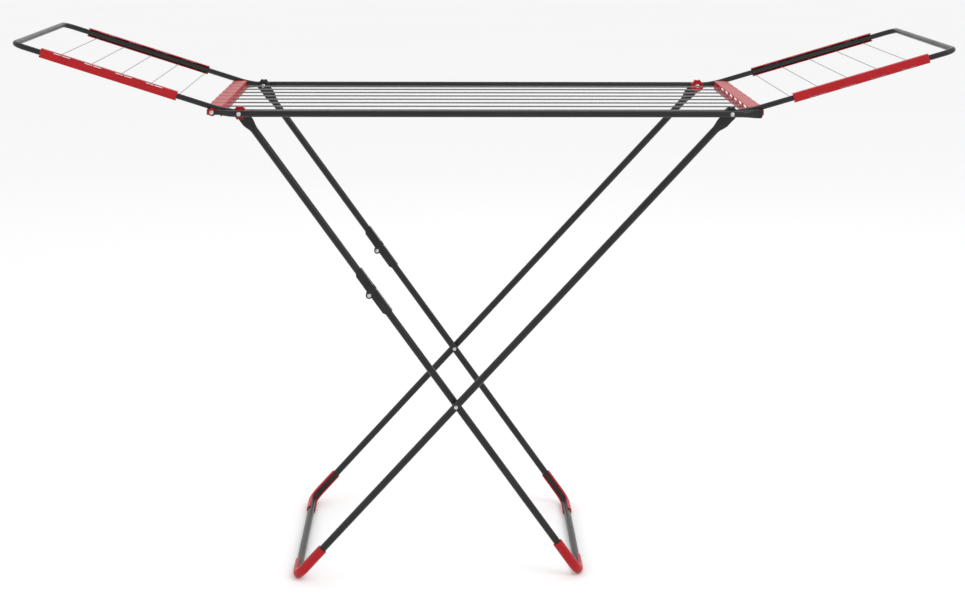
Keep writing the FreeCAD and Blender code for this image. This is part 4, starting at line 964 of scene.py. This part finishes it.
def drying_lines():
    low, high = corners("drying_lines")
    height = (low[2] + high[2]) / 2
    lines = [line_shell(np.array([low[0], y, height]), np.array([high[0], y, height]), MAIN_LINE)
             for y in MAIN_LINES]
    piece("main_lines", joined(lines), "top_frame", "grey_line", ["drying_lines"])
    reach = corners("wing_lines_right")[1][1]
    shells = []
    for number in range(WING_LINES):
        place = on_wing(LINE_FIRST + number * LINE_PITCH) - WING_UP * LINE_DROP
        shells.append(line_shell(place - ACROSS * reach, place + ACROSS * reach, WING_LINE, 12))
    wing = joined(shells)
    piece("wing_lines_right_set", wing, "wing_right", "thin_line", ["wing_lines_right"])
    piece("wing_lines_left_set", as_wing(wing, -1), "wing_left", "thin_line", ["wing_lines_left"])


# --------------------------------------------------- floor, light and camera

def floor():
    """Wide pale floor, level with the feet."""
    far = 60000.0
    ends = np.array([(-far, -far, 0), (far, -far, 0), (far, far, 0), (-far, far, 0)])
    thing = mesh_object("floor", (ends, [[0, 1, 2, 3]]))
    material, tree, shader = node_tree("floor_paint")
    shade = noise(tree, 0.6, 2.0)
    tree.links.new(mixed(tree, shade, (0.93, 0.93, 0.93), (0.95, 0.95, 0.95)), shader.inputs["Base Color"])
    shader.inputs["Roughness"].default_value = 0.9
    shader.inputs["Specular IOR Level"].default_value = 0.1
    thing.data.materials.append(material)


def softbox(name, place, aim, wide, tall, power):
    """Area light at place, facing aim; metres and watts."""
    light = bpy.data.lights.new(name, "AREA")
    light.shape, light.size, light.size_y, light.energy = "RECTANGLE", wide, tall, power
    thing = bpy.data.objects.new(name, light)
    bpy.context.scene.collection.objects.link(thing)
    away = Matrix.Translation(place).to_translation() - Matrix.Translation(aim).to_translation()
    thing.matrix_world = Matrix.Translation(place) @ away.to_track_quat("Z", "Y").to_matrix().to_4x4()


def studio():
    """White surroundings, darker towards the viewer than behind the rack, and three weak softboxes."""
    scene = bpy.context.scene
    world = bpy.data.worlds.new("studio")
    world.use_nodes = True
    tree = world.node_tree
    place = tree.nodes.new("ShaderNodeTexCoord")
    parts = tree.nodes.new("ShaderNodeSeparateXYZ")
    tree.links.new(place.outputs["Generated"], parts.inputs["Vector"])
    back = tree.nodes["Background"]
    back.inputs["Color"].default_value = (1, 1, 1, 1)
    tree.links.new(ranged(tree, parts.outputs["Y"], -0.8, 0.6, 0.8, 1.12), back.inputs["Strength"])
    scene.world = world
    scene.view_settings.view_transform = "Standard"
    softbox("key", (2.6, -2.4, 3.6), (0, 0, 0.7), 2.6, 2.6, 55)
    softbox("fill", (-3.4, -2.2, 2.2), (0, 0, 0.8), 2.4, 2.0, 15)
    softbox("back", (0.4, 3.6, 3.0), (0, 0, 0.8), 3.0, 1.6, 8)


CAMERA_PLACE = (-0.08344, -3.9144, 1.42678)
CAMERA_DOWN, CAMERA_LEFT, CAMERA_ROLL = 12.699, -1.217, 0.202       # degrees
CAMERA_LENS, SENSOR = 69.37, 36.0


def camera():
    """Camera turned about the vertical, then tilted down, then rolled about its own axis."""
    data = bpy.data.cameras.new("camera")
    data.lens, data.sensor_width, data.sensor_fit = CAMERA_LENS, SENSOR, "HORIZONTAL"
    data.clip_end = 200
    thing = bpy.data.objects.new("camera", data)
    bpy.context.scene.collection.objects.link(thing)
    turn = Matrix.Rotation(math.radians(CAMERA_LEFT), 4, "Z")
    tilt = Matrix.Rotation(math.radians(90 - CAMERA_DOWN), 4, "X")
    roll = Matrix.Rotation(math.radians(CAMERA_ROLL), 4, "Z")
    thing.matrix_world = Matrix.Translation(CAMERA_PLACE) @ turn @ tilt @ roll
    bpy.context.scene.camera = thing


tubes()
plastics()
metal_fittings()
drying_lines()
frame["nodes"]["pivot_washers"].data.materials.clear()
frame["nodes"]["pivot_washers"].data.materials.append(MATERIALS["black_plastic"])
floor()
studio()
camera()
